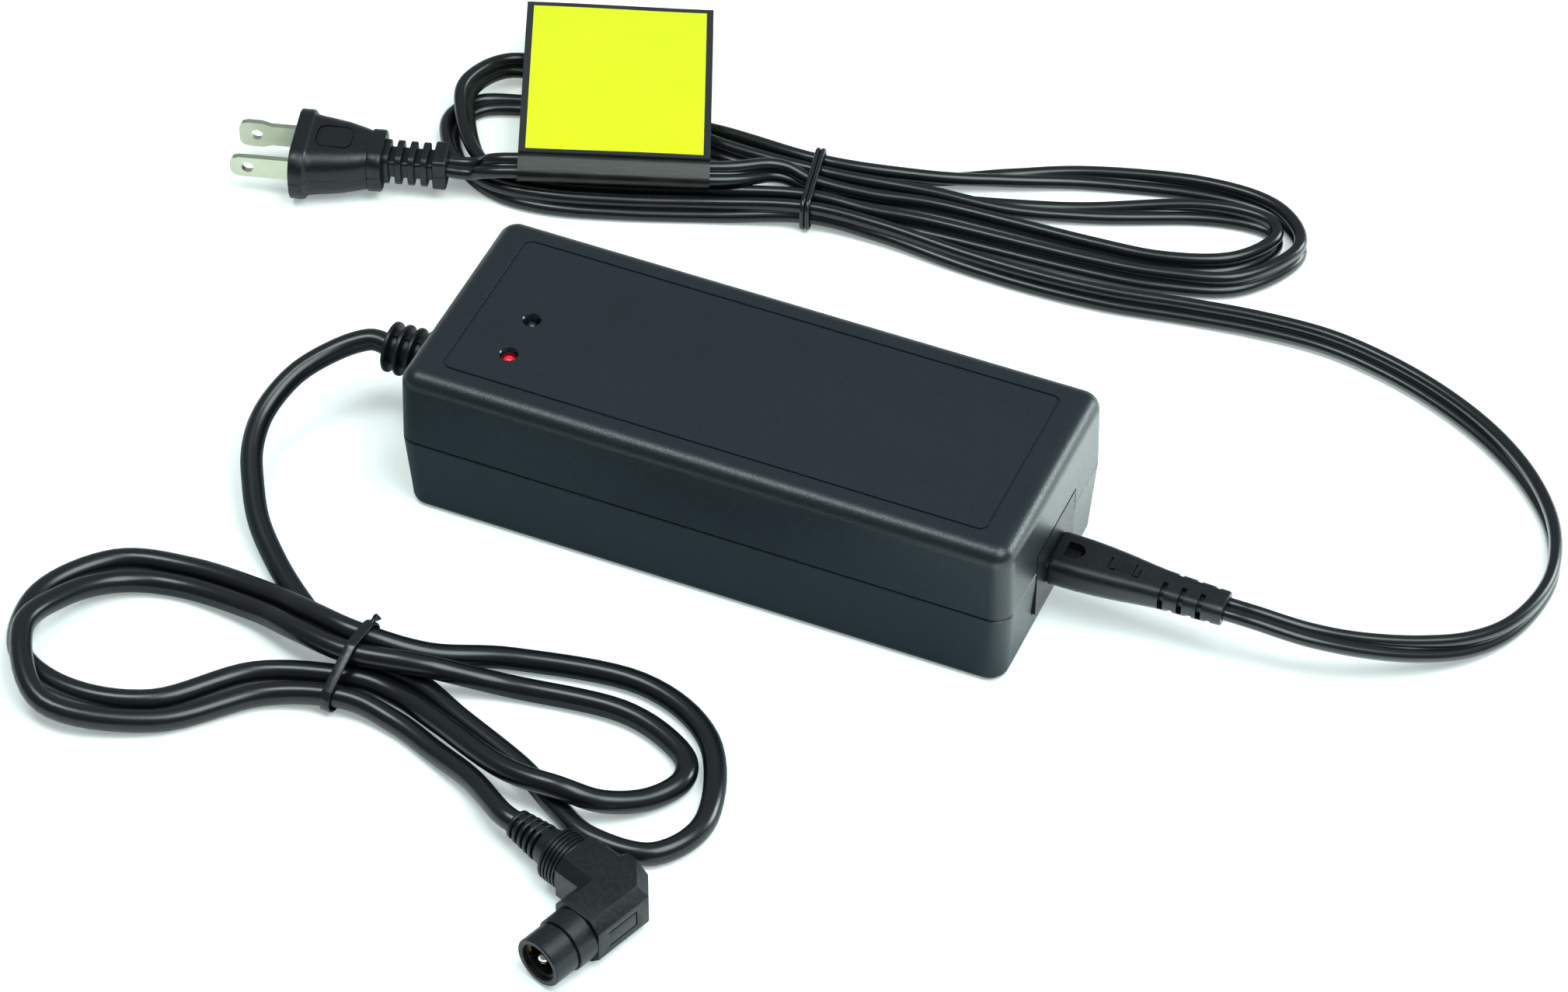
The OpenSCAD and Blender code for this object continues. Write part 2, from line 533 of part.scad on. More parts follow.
core_d = 11;                                  // depth of the ferrite core
leg_r = 5.4;                                  // radius of its middle leg
yoke = 5;
module transformer_core() color("#3b3b3d") translate([transformer_at.x, transformer_at.y, board_top + core_lift]) difference() {
    translate([-core_w/2, -core_d/2, 0]) cube([core_w, core_d, core_h]);
    for (s = [0, 1]) mirror([s, 0, 0]) translate([leg_r, -core_d/2 - eps, yoke])
        cube([core_w/2 - leg_r - yoke, core_d + 2*eps, core_h - 2*yoke]);
}
module transformer_winding() color("#e0c040") translate([transformer_at.x, transformer_at.y, board_top]) difference() {
    union() {
        translate([-core_w/2 - 1, -bobbin_d/2, 0]) cube([core_w + 2, bobbin_d, core_lift]);
        translate([0, 0, core_lift + yoke + 0.2]) cylinder(r = core_w/2 - yoke - 0.3, h = core_h - 2*yoke - 0.4);
        for (z = [core_lift + yoke + 0.2, core_lift + core_h - yoke - 1.2])
            translate([-bobbin_w/2, -bobbin_d/2, z]) cube([bobbin_w, bobbin_d, 1]);
        // rails for the bobbin's pins, in front of the core and behind it
        for (s = [-1, 1]) translate([-bobbin_w/2, s*(bobbin_d/2 + core_d/2 + 0.3)/2 - 2.6, 1])
            cube([bobbin_w, 5.2, core_lift + yoke]);
    }
    translate([-leg_r - 0.1, -core_d/2 - 0.1, core_lift - thin]) cube([2*leg_r + 0.2, core_d + 0.2, core_h + 1]);
}
module line_choke() color("#3f8f5a") translate([choke_at.x, choke_at.y, board_top]) {
    translate([-10, -8, 0]) cube([20, 16, 1.5]);
    translate([0, 0, 11.4]) rotate([90, 0, 0]) difference() {
        cylinder(r = 10, h = 9, center = true);
        cylinder(r = 4.4, h = 9 + 2*eps, center = true);
    }
    for (s = [-1, 1]) translate([s*7 - 1.2, -5, 1]) cube([2.4, 10, 4]);
}
module line_capacitor() color("#d7a62b") translate([line_cap_at.x, line_cap_at.y, board_top]) difference() {
    translate([-4.5, -9, 0]) cube([9, 18, 15]);
    translate([-eps - 4.5, -7, -eps]) cube([9 + 2*eps, 14, eps + 0.6]);
}
module fuse() color("#dfe3e2") translate([fuse_at.x, fuse_at.y, board_top + 2.9]) {
    rotate([90, 0, 90]) cylinder(d = 4.4, h = 13, center = true);
    for (s = [-1, 1]) translate([s*7.6, 0, 0]) {
        rotate([90, 0, 90]) cylinder(d = 5.2, h = 5, center = true);
        translate([-1, -2.2, -2.9]) cube([2, 4.4, 2.9]);
    }
}
module can(d, h) difference() {
    cylinder(d = d, h = h);
    translate([0, 0, 3]) rotate_extrude() translate([d/2 + 0.3, 0]) circle(0.8, $fn = 16);
    for (a = [0:60:120]) rotate([0, 0, a]) translate([-d/2 + 1.5, -0.2, h - 0.3]) cube([d - 3, 0.4, eps]);
}
module bulk_capacitor() color("#22324c") translate([bulk_at.x, bulk_at.y, board_top]) can(bulk_d, bulk_h);
module output_capacitors() color("#22324c") for (p = out_cap_at) translate([p.x, p.y, board_top]) can(out_cap_d, out_cap_h);
// plate that stands on the board, with a fin folded along its top
module heatsink(p, side) translate([p.x, p.y, board_top]) difference() {
    union() {
        translate([-sink_l/2, -sink_t/2, 0]) cube([sink_l, sink_t, sink_h]);
        translate([-sink_l/2, side > 0 ? -sink_t/2 - fin_w : -sink_t/2, sink_h - sink_t]) cube([sink_l, fin_w + sink_t, sink_t]);
    }
    translate([0, 0, device_z - board_top + device_h - device_tab/2]) rotate([90, 0, 0])
        cylinder(d = 3.2, h = 4*sink_t, center = true);
}
module mains_heatsink() color("#b9bcbe") heatsink(sink_a_at, 1);
module output_heatsink() color("#b9bcbe") heatsink(sink_b_at, -1);
// three-legged power device clamped to a heatsink's inner face by a screw
module device(p, side) translate([p.x, p.y - side*(sink_t/2 + device_t/2), device_z]) difference() {
    union() {
        translate([-device_w/2, -device_t/2, 0]) cube([device_w, device_t, device_h - device_tab]);
        translate([-device_w/2, side > 0 ? device_t/2 - 1.3 : -device_t/2, 0]) cube([device_w, 1.3, device_h]);
        for (x = [-2.54, 0, 2.54]) translate([x - 0.4, -0.3, board_top - device_z]) cube([0.8, 0.6, device_z - board_top + thin]);
        translate([0, 0, device_h - device_tab/2]) rotate([90, 0, 0]) cylinder(d = 3, h = device_t + 2*sink_t + 2, center = true);
        translate([0, side > 0 ? device_t/2 - 1.3 - 1 : -device_t/2 + 1.3 + 1, device_h - device_tab/2]) rotate([90, 0, 0])
            cylinder(d = 5.4, h = 2, center = true);
    }
}
module power_transistor() color("#26282a") device(sink_a_at, 1);
module output_rectifier() color("#26282a") device(sink_b_at, -1);

// ================= low-voltage lead =================
ring_pitch = (gland_l - ring_w - 3)/(gland_rings - 0.5);
module output_gland() color("#1b1e21") along_x([gland_end, gland_y, part_z]) difference() {
    union() {
        translate([0, 0, 0]) cylinder(d1 = dc_d + 3, d2 = 2*gland_neck - 1, h = gland_l);
        for (i = [0:gland_rings - 1]) translate([0, 0, i*ring_pitch]) cylinder(d = gland_d - 0.5*(gland_rings - 1 - i)*0.4, h = ring_w);
        // webs above and below that join the rings and leave windows at both sides
        translate([-gland_d/2 + 1.7, -0.9, 0]) cube([gland_d - 3.4, 1.8, (gland_rings - 1)*ring_pitch + ring_w]);
        translate([0, 0, gland_l - 2.6]) cylinder(d = 2*gland_neck + 2.4, h = 2.4);
        translate([0, 0, gland_l - 1]) cylinder(r = gland_neck, h = wall + 1.8);
        translate([0, 0, gland_l + wall + 0.7]) cylinder(d = 2*gland_neck + 3, h = 2.4);
    }
    translate([0, 0, -eps]) cylinder(d = dc_d, h = eps);
    translate([0, 0, gland_l + wall - 4]) cylinder(d = dc_d, h = 9);
}
module dc_lead() color("#15171a") sweep(dc_path, 0, dc_a, round_section(dc_d, 8));
module dc_hank() color("#15171a") sweep(dc_path, dc_a, dc_b, round_section(dc_d, 6));
module dc_tail() color("#15171a") sweep(dc_path, dc_b, dc_end, round_section(dc_d, 8));
// flat strap round the five strands, with its cut end standing up at the back
dc_tie_w = 2.6;
dc_tie_at = [-62.9, -90.5, 0];
dc_tie_turn = -5;
dc_tie_gap = 0.45;
dc_tie_t = 0.7;
// where a cord's path passes through the upright plane of a tie: [place across, height]
function crossings(p, at, turn) = let (n = [cos(turn), sin(turn), 0], back = [-sin(turn), cos(turn), 0])
    [for (i = [0:len(p) - 2]) let (a = (place(p[i]) - at)*n, b = (place(p[i + 1]) - at)*n)
        if (a*b < 0 && abs((place(p[i]) - at)*back) < 20)
            let (q = (b*place(p[i]) - a*place(p[i + 1]))/(b - a) - at) [q*back, q.z]];
module dc_bundle_outline(grow) hull()
    for (q = crossings(dc_path, dc_tie_at, dc_tie_turn)) translate(q) circle(dc_d/2 + grow, $fn = SOFT);
module dc_tie() color("#1a1c1f") translate(dc_tie_at) rotate([90, 0, 90 + dc_tie_turn]) {
    linear_extrude(dc_tie_w, center = true) difference() {
        dc_bundle_outline(dc_tie_gap + dc_tie_t);
        dc_bundle_outline(dc_tie_gap);
    }
    translate([8.6, 12.2, -0.9]) rotate([0, 0, -15]) cube([4.6, 1.1, 1.8]);
}

// ================= elbow plug =================
module at_elbow() translate(elbow_at) rotate([0, 0, elbow_turn]) children();
module chamfered(w, c) polygon([[-w/2, -w/2 + c], [-w/2 + c, -w/2], [w/2 - c, -w/2], [w/2, -w/2 + c],
    [w/2, w/2 - c], [w/2 - c, w/2], [-w/2 + c, w/2], [-w/2, w/2 - c]]);
elbow_c = 2.6;                                // chamfer along the elbow's edges
block_l = 13.8;                               // from the elbow's centre along the barrel
ring_l = 5.5;                                 // length of the barrel's wider ring
corner_cut = 6.4;                             // size of the cut across the outside of the bend
arm_l = 14;                                   // from the elbow's centre along the lead
collar_x = -arm_l - 6;                        // far end of the grooved collar
relief_end = -elbow_reach;
relief_span = collar_x - relief_end;
relief_tip_d = 7.4;
relief_root_d = 9.6;
relief_pitch = 1.9;                           // from one rib of the strain relief to the next
groove_pitch = 1.1;
module elbow_body() color("#1b1e21") at_elbow() difference() {
    union() {
        translate([0, elbow_w/2, 0]) rotate([90, 0, 0]) linear_extrude(elbow_w/2 + block_l) chamfered(elbow_w, elbow_c);
        translate([elbow_w/2 - elbow_c, 0, 0]) rotate([0, -90, 0]) linear_extrude(elbow_w/2 - elbow_c + arm_l) chamfered(elbow_w, elbow_c);
        along_x([collar_x, 0, 0]) cylinder(d = collar_d, h = -arm_l - collar_x);
        along_x([relief_end, 0, 0]) cylinder(d1 = relief_tip_d, d2 = relief_root_d, h = relief_span);
        translate([0, -block_l, 0]) rotate([90, 0, 0]) cylinder(d = barrel_d + 0.9, h = ring_l);
        translate([0, -block_l, 0]) rotate([90, 0, 0]) cylinder(d = barrel_d, h = barrel_l - block_l);
    }
    // corner cut across the outside of the bend
    translate([elbow_w/2, elbow_w/2, 0]) rotate([0, 0, 45]) cube([corner_cut, 20, 2*elbow_w], center = true);
    for (i = [0:collar_grooves - 1]) along_x([collar_x + 0.8 + i*groove_pitch, 0, 0]) difference() {
        cylinder(d = collar_d + 1, h = 0.5);
        translate([0, 0, -eps]) cylinder(d = collar_d - 1, h = 2);
    }
    // slots between the ribs, at both sides, with a spine left above and below
    for (i = [0:elbow_ribs - 1]) along_x([relief_end + relief_pitch*(i + 0.55), 0, 0]) difference() {
        cylinder(d = relief_root_d + 2, h = relief_pitch*0.45);
        translate([0, 0, -eps]) cylinder(d = dc_d + 0.6, h = relief_pitch + 2*eps);
        translate([-relief_root_d, -1, -eps]) cube([2*relief_root_d, 2, relief_pitch + 2*eps]);
    }
    translate([0, -barrel_l - eps, 0]) rotate([-90, 0, 0]) cylinder(d = barrel_bore, h = bore_depth + eps);
    translate([0, -block_l - ring_l, 0]) rotate([90, 0, 0]) difference() {
        cylinder(d = barrel_d + 1, h = 0.5);
        translate([0, 0, -eps]) cylinder(d = barrel_d - 0.8, h = 2);
    }
    // outline of the latch on the outer side
    translate([elbow_w/2 - 0.4, -10.5, -2.2]) difference() {
        cube([eps + 0.5, 9, 4.4]);
        translate([-eps, 0.5, 0.5]) cube([3, 8, 3.4]);
    }
}
module barrel_liner() color("#111315") at_elbow() translate([0, -barrel_l + bore_depth, 0]) rotate([90, 0, 0]) difference() {
    cylinder(d = barrel_bore, h = bore_depth - 1.2);
    translate([0, 0, 1.6]) cylinder(d = barrel_bore - 1.8, h = bore_depth);
    translate([0, 0, -eps]) cylinder(d = centre_pin_d, h = 3);
    for (s = [-1, 1]) translate([s*(barrel_bore/2 - 0.9) - 0.3, -1.2, 1.6]) cube([0.6, 2.4, bore_depth]);
}
module centre_pin() color("#dcdad2") at_elbow() translate([0, -barrel_l + bore_depth, 0]) rotate([90, 0, 0]) difference() {
    union() {
        cylinder(d = centre_pin_d, h = bore_depth - pin_recess - centre_pin_d/2);
        translate([0, 0, bore_depth - pin_recess - centre_pin_d/2]) sphere(d = centre_pin_d);
    }
    translate([-3, -0.25, 3]) cube([6, 0.5, bore_depth]);
}
module side_contacts() color("#c9974c") at_elbow() translate([0, -barrel_l + bore_depth, 0]) rotate([90, 0, 0])
    for (s = [-1, 1]) translate([s*(barrel_bore/2 - 0.9) - 0.3, -1.2, 1.6]) cube([0.6, 2.4, bore_depth - 3.2]);

// ================= mains connector =================
slot_pitch = (relief_l - 1.9)/relief_slots;
slot_t = 1.3;                                 // width of a slot across the relief
// slots at two opposite corners, down to a core round the cord
module corner_slots(y, z) for (a = [0, 180]) rotate([a, 0, 0]) translate([0, y, z]) cube([slot_t, grip_w, grip_w]);
module relief_core() translate([-1, 0, 0]) along_x([0, 0, 0]) linear_extrude(slot_t + 2) rrect(ac_t + 0.5, ac_w - 0.2, 1.8);
module connector_body() color("#1b1e21") difference() {
    union() {
        along_x([face_x - socket_depth + slide_gap, 0, socket_z]) linear_extrude(socket_depth)
            figure_eight(nose_t/2, pin_pitch);
        hull() {
            along_x([grip_x, 0, socket_z]) linear_extrude(thin) rrect(grip_t, grip_w, 3);
            along_x([grip_x + grip_l*0.55, 0, socket_z]) linear_extrude(thin) rrect(grip_t*0.96, grip_w*0.9, 3);
        }
        hull() {
            along_x([grip_x + grip_l*0.55, 0, socket_z]) linear_extrude(thin) rrect(grip_t*0.96, grip_w*0.9, 3);
            along_x([relief_x, 0, socket_z]) linear_extrude(thin) rrect(grip_tail_t, grip_tail_w, 2.6);
        }
        hull() {
            along_x([relief_x - thin, 0, socket_z]) linear_extrude(thin) rrect(grip_tail_t, grip_tail_w, 2.6);
            along_x([cord_x - thin, 0, socket_z]) linear_extrude(thin) rrect(ac_t + 2.4, ac_w + 2, 2.2);
        }
    }
    for (s = [-1, 1]) along_x([face_x - socket_depth, s*pin_pitch/2, socket_z]) cylinder(d = pin_d + 2*slide_gap, h = pin_l + 1);
    // slots over the front upper corner, in turn with shallow ones at the back upper corner
    for (i = [0:relief_slots - 1]) translate([relief_x + 0.3 + slot_pitch*i, 0, socket_z]) {
        difference() { corner_slots(0.4, 1.6 - grip_w); relief_core(); }
        translate([slot_pitch/2, 0, 0]) difference() { corner_slots(2.9, 1.2); relief_core(); }
    }
    // thumb recess and grip ribs on top
    translate([grip_x + 5, 0, socket_z + grip_t/2 - 0.7]) intersection() {
        cylinder(d = 5.4, h = 2);
        translate([-2.7, -2.7, 0]) cube([4.2, 5.4, 2]);
    }
    for (i = [0:3]) translate([grip_x + grip_l*0.48 + 1.7*i, -2.2, socket_z + grip_t/2 - 0.75]) cube([0.7, 4.4, 2]);
}
module connector_contacts() color("#c9974c") for (s = [-1, 1])
    along_x([face_x - socket_depth + slide_gap + 2.6, s*pin_pitch/2, socket_z]) difference() {
        cylinder(d = pin_d + 2*slide_gap, h = pin_l - 2.6 + 0.6);
        translate([0, 0, -eps]) cylinder(d = pin_d + 0.16, h = 20);
    }
module ac_lead() color("#1a1c1e") sweep(ac_path, 0, ac_a, ac_section);
module ac_hank() color("#1a1c1e") sweep(ac_path, ac_a, ac_b, ac_section);
module ac_tail() color("#1a1c1e") sweep(ac_path, ac_b, ac_end, ac_section);
// two turns of round twist tie
ac_tie_d = 1.3;
ac_tie_gap = 0.35;
ac_tie_at = [-30, 110.2, 0];
ac_tie_turn = 12;
module ac_bundle_outline(grow) hull()
    for (q = crossings(ac_path, ac_tie_at, ac_tie_turn), s = [-1, 1])
        translate([q.x, q.y + s*(ac_w - ac_t)/2]) circle(ac_t/2 + grow, $fn = SOFT);
module ac_tie() color("#1f2225") translate(ac_tie_at) rotate([90, 0, 90 + ac_tie_turn])
    for (s = [-1, 0]) translate([0, 0, s*ac_tie_d]) linear_extrude(ac_tie_d) difference() {
        ac_bundle_outline(ac_tie_gap + ac_tie_d);
        ac_bundle_outline(ac_tie_gap);
    }

// ================= mains plug =================
module at_plug() translate(plug_at) rotate([0, 0, plug_turn]) children();
module plug_section(w, h, r) rrect(h, w, r);
module blade_outline(tip_w) polygon([[2.4, -tip_w/2], [0.8, -tip_w/2 + 0.5], [0, -tip_w/2 + 1.8], [0, tip_w/2 - 1.8],
    [0.8, tip_w/2 - 0.5], [2.4, tip_w/2], [6, tip_w/2], [8.5, blade_w/2], [blade_l + 6, blade_w/2],
    [blade_l + 6, -blade_w/2], [8.5, -blade_w/2], [6, -tip_w/2]]);
module blade(tip_w) translate([-blade_l, blade_t/2, 0]) rotate([90, 0, 0]) linear_extrude(blade_t) difference() {
    blade_outline(tip_w);
    translate([4.6, 0]) circle(d = blade_hole_d);
}
module plug_blades() color("#c8cbb8") at_plug() {
    translate([0, -blade_pitch/2, 0]) blade(blade_w);
    translate([0, blade_pitch/2, 0]) blade(blade_flare);
}
plug_neck_w = 12;
module mains_plug() color("#25282b") at_plug() difference() {
    union() {
        along_x([0, 0, 0]) linear_extrude(flange_t) plug_section(flange_w, flange_h, 6);
        hull() {
            along_x([flange_t - thin, 0, 0]) linear_extrude(thin) plug_section(flange_w - 3.4, flange_h - 1.6, 5);
            along_x([flange_t + plug_l*0.6, 0, 0]) linear_extrude(thin) plug_section(plug_neck_w + 7, flange_h - 2.2, 5);
            along_x([flange_t + plug_l, 0, 0]) linear_extrude(thin) plug_section(plug_neck_w + 2, flange_h - 3.4, 4);
        }
        along_x([flange_t + plug_l, 0, 0]) linear_extrude(collar_l) plug_section(plug_neck_w + 3, flange_h - 3, 4);
        along_x([flange_t + plug_l + collar_l, 0, 0]) linear_extrude(plug_relief_l)
            plug_section(plug_relief_w, plug_relief_w, 1.2);
    }
    for (s = [-1, 1]) translate([-eps, s*blade_pitch/2 - blade_t/2, -blade_w/2]) cube([6 + eps, blade_t, blade_w]);
    // slots between the ribs leave a core round the cord
    for (i = [0:plug_ribs - 2]) translate([flange_t + plug_l + collar_l + 1.6 + i*(plug_relief_l - 5)/(plug_ribs - 1.6), 0, 0])
        difference() {
            translate([0, -8, -8]) cube([1.5, 16, 16]);
            translate([-eps, -ac_w/2 - 0.2, -ac_t/2 - 0.6]) cube([3, ac_w + 0.4, ac_t + 1.2]);
        }
    // bare recessed panel on top
    translate([flange_t + 6.2, 0, flange_h/2 - 1.5]) cylinder(r = 4.4, h = 3);
}

// ================= tag =================
module sleeve_section(grow) hull() for (s = [-1, 1])
    translate([s*(ac_w - ac_t)/2, 0]) circle(ac_t/2 + grow, $fn = SOFT);
sleeve_run = sleeve_b - sleeve_a;
sleeve_len = norm(sleeve_run);
sleeve_yaw = atan2(sleeve_run.y, sleeve_run.x);
sleeve_dip = asin(sleeve_run.z/sleeve_len);
module at_sleeve() translate(sleeve_a) rotate([0, -sleeve_dip, sleeve_yaw]) children();
module tag_sleeve() color("#30302a") at_sleeve() along_x([0, 0, 0]) rotate([0, 0, 90 - sleeve_roll])
    translate([0, 0, 0.1]) linear_extrude(min(tag_l, sleeve_len - 0.2)) difference() {
        sleeve_section(0.15 + sleeve_t);
        sleeve_section(0.15);
    }
// the sheet leaves the top of the sleeve and falls gently as it reaches back
sheet_y = (ac_w - ac_t)/2*cos(sleeve_roll);
sheet_z = (ac_w - ac_t)/2*sin(sleeve_roll) + ac_t/2 + 0.15 + sleeve_t + 0.2;
sheet_fall = [[0, 0], [0.3, -0.5], [0.6, -1.8], [1, -4]];
module tag() color("#e8ff30") at_sleeve() rotate([90, 0, 90]) translate([0, 0, 0.1])
    linear_extrude(min(tag_l, sleeve_len - 0.2)) polygon(concat(
        [for (q = sheet_fall) [-sheet_y - q[0]*tag_reach, sheet_z + q[1] + tag_t]],
        [for (i = [len(sheet_fall) - 1:-1:0]) let (q = sheet_fall[i]) [-sheet_y - q[0]*tag_reach, sheet_z + q[1]]]));

upper_case();
lower_case();
case_screws();
circuit_board();
lamp_board();
charge_lamp();
power_lamp();
inlet_housing();
inlet_pins();
transformer_core();
transformer_winding();
line_choke();
line_capacitor();
fuse();
bulk_capacitor();
mains_heatsink();
power_transistor();
output_heatsink();
output_rectifier();
output_capacitors();
output_gland();
dc_lead();
dc_hank();
dc_tail();
dc_tie();
elbow_body();
barrel_liner();
centre_pin();
side_contacts();
connector_body();
connector_contacts();
ac_lead();
ac_hank();
ac_tail();
ac_tie();
mains_plug();
plug_blades();
tag_sleeve();
tag();
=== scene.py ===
import math

import bmesh
import bpy
from mathutils import Matrix, Vector
from mathutils.geometry import convex_hull_2d


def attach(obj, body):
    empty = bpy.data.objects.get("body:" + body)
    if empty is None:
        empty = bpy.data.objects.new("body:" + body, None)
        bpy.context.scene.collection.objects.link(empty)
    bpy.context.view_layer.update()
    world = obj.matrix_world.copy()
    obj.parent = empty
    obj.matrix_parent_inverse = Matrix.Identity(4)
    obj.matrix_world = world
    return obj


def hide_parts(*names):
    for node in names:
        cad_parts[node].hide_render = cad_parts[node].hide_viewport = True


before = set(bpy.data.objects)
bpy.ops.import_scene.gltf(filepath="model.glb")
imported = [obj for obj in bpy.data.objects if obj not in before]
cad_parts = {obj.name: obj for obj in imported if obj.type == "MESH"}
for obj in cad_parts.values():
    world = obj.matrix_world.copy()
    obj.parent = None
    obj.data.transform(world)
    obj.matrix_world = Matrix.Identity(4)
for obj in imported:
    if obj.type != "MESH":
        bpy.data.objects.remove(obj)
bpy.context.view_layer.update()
MM = 0.001
UP = Vector((0, 0, 1))


# ---- Table, light and camera ----
# The charger lies on a table painted matt white. One wide soft light hangs over its right
# end, a smaller one over its left end, and a low one stands at the back. A long lens looks
# down on it from the front right.
def linear(code):
    """An sRGB hex colour as linear red, green, blue and alpha."""
    parts = [int(code[i:i + 2], 16) / 255 for i in (1, 3, 5)]
    return [c / 12.92 if c <= 0.04045 else ((c + 0.055) / 1.055) ** 2.4 for c in parts] + [1]


def add(tree, kind, values=None, links=None, **settings):
    """Adds a node, with its own settings, its sockets' values, and links from other sockets."""
    node = tree.nodes.new(kind)
    for name, value in settings.items():
        setattr(node, name, value)
    for socket, value in (values or {}).items():
        node.inputs[socket].default_value = value
    for socket, source in (links or {}).items():
        tree.links.new(source, node.inputs[socket])
    return node


def material(name):
    """A new material and its empty tree."""
    made = bpy.data.materials.new(name)
    made.use_nodes = True
    made.node_tree.nodes.clear()
    return made, made.node_tree


def mesh_object(name, bm, coat, smooth=True):
    """A piece from a bmesh, coated, with its faces turned outwards."""
    bmesh.ops.recalc_face_normals(bm, faces=bm.faces)
    mesh = bpy.data.meshes.new(name)
    bm.to_mesh(mesh)
    bm.free()
    mesh.materials.append(coat)
    if smooth:
        mesh.shade_smooth()
        mesh.set_sharp_from_angle(angle=math.radians(32))
    made = bpy.data.objects.new(name, mesh)
    bpy.context.scene.collection.objects.link(made)
    return made


# Matt white paint. The camera sees it a little lifted. For glossy rays alone, its right part
# glows as a white card would, a painted reflection for the case's right end, and a strip in
# front of the case is mirrored darker, a painted shade in the case's front wall.
paint_lift = 0.3
glow_from, glow_to, painted_glow = 0.07, 0.1, 1.5
strip_y, strip_core, strip_edge = -0.05, 0.03, 0.05
table_top, tree = material("matt_white_paint")
rays = add(tree, "ShaderNodeLightPath").outputs
seen = add(tree, "ShaderNodeMath", {1: paint_lift}, {0: rays["Is Camera Ray"]}, operation="MULTIPLY")
place = add(tree, "ShaderNodeTexCoord").outputs["Object"]
spot = add(tree, "ShaderNodeSeparateXYZ", links={0: place})
# Towards the right, the table glows for glossy rays alone: a painted reflection, not a lamp.
painted_reflection = add(tree, "ShaderNodeMapRange", {"From Min": glow_from, "From Max": glow_to, "To Max": painted_glow},
           {"Value": spot.outputs["X"]})
lift = add(tree, "ShaderNodeMath", links={0: rays["Is Glossy Ray"], 1: painted_reflection.outputs[0], 2: seen.outputs[0]},
           operation="MULTIPLY_ADD")
glow = add(tree, "ShaderNodeEmission", {"Color": linear("#f2fffb")}, {"Strength": lift.outputs[0]})
# A strip in front of the case looks darker to glossy rays alone: painted shade for the case's front wall.
ahead = add(tree, "ShaderNodeMath", {1: -strip_y}, {0: spot.outputs["Y"]}, operation="ADD")
ahead = add(tree, "ShaderNodeMath", links={0: ahead.outputs[0]}, operation="ABSOLUTE")
painted_shade_strip = add(tree, "ShaderNodeMapRange",
            {"From Min": strip_core, "From Max": strip_edge, "To Min": 1.0, "To Max": 0.0},
            {"Value": ahead.outputs[0]})
painted_shade_strip = add(tree, "ShaderNodeMath", links={0: rays["Is Glossy Ray"], 1: painted_shade_strip.outputs[0]},
            operation="MULTIPLY")
# The darker blue-grey that glossy rays see in the strip is painted shade.
mirrored_painted_shade = add(tree, "ShaderNodeMix", {6: linear("#f4f5f5"), 7: linear("#8b9ea8")}, {0: painted_shade_strip.outputs[0]},
               data_type="RGBA")
matt = add(tree, "ShaderNodeBsdfDiffuse", links={"Color": mirrored_painted_shade.outputs[2]})
both = add(tree, "ShaderNodeAddShader", links={0: glow.outputs[0], 1: matt.outputs[0]})
add(tree, "ShaderNodeOutputMaterial", links={"Surface": both.outputs[0]})
bm = bmesh.new()
bmesh.ops.create_grid(bm, x_segments=1, y_segments=1, size=6)
table = mesh_object("table", bm, table_top, smooth=False)

# A white room, dimmer in front of the table than behind it. The camera sees white paper.
world = bpy.data.worlds.new("room")
bpy.context.scene.world = world
world.use_nodes = True
tree = world.node_tree
tree.nodes.clear()
rays = add(tree, "ShaderNodeLightPath").outputs
facing = add(tree, "ShaderNodeTexCoord").outputs["Generated"]
turned_to = add(tree, "ShaderNodeSeparateXYZ", links={0: facing})
depth = add(tree, "ShaderNodeMapRange", {"From Min": -0.9, "From Max": 0.2, "To Min": 0.16, "To Max": 0.38},
            {"Value": turned_to.outputs["Y"]})
sky = add(tree, "ShaderNodeBackground", {"Color": linear("#e6f1f4")}, {"Strength": depth.outputs[0]})
paper = add(tree, "ShaderNodeBackground", {"Color": linear("#ffffff"), "Strength": 1.0})
pick = add(tree, "ShaderNodeMixShader",
           links={0: rays["Is Camera Ray"], 1: sky.outputs[0], 2: paper.outputs[0]})
add(tree, "ShaderNodeOutputWorld", links={"Surface": pick.outputs[0]})


def lamp(name, place, size, watts):
    """A square soft light of cool white, turned towards the charger's middle."""
    light = bpy.data.lights.new(name, "AREA")
    light.shape, light.size, light.energy, light.color = "SQUARE", size, watts, (0.86, 1.0, 0.97)
    made = bpy.data.objects.new(name, light)
    made.location = place
    made.rotation_euler = (-Vector(place)).to_track_quat("-Z", "Y").to_euler()
    bpy.context.scene.collection.objects.link(made)


lamp("overhead", (0.5, -0.15, 1.15), 0.8, 14)
lamp("window", (-0.36, -0.2, 1.2), 0.45, 6)
lamp("end_fill", (0.95, 0.85, 0.42), 0.5, 10)

# The camera's turn, rise and roll in degrees, its lens for a frame so many pixels wide, and
# how far it stands to the right of the charger's middle, above it and back from it
camera_turn, camera_rise, camera_roll = 22.92, 44.72, 0.42
sensor, focal_px, frame_px = 36, 7331.4, 2018
stand_right, stand_up, stand_back = 8.246, 3.48, 1386.5
turn, rise, roll = (math.radians(a) for a in (camera_turn, camera_rise, camera_roll))
back = Vector((math.sin(turn) * math.cos(rise), -math.cos(turn) * math.cos(rise), math.sin(rise)))
right = Vector((math.cos(turn), math.sin(turn), 0))
above = back.cross(right)
right, above = (math.cos(roll) * right + math.sin(roll) * above,
                math.cos(roll) * above - math.sin(roll) * right)
camera = bpy.data.objects.new("camera", bpy.data.cameras.new("camera"))
camera.data.sensor_width = sensor
camera.data.lens = sensor * focal_px / frame_px
camera.matrix_world = Matrix((right, above, back)).transposed().to_4x4()
camera.location = (right * stand_right + above * stand_up + back * stand_back) * MM
bpy.context.scene.collection.objects.link(camera)
bpy.context.scene.camera = camera
bpy.context.scene.view_settings.view_transform = "Standard"


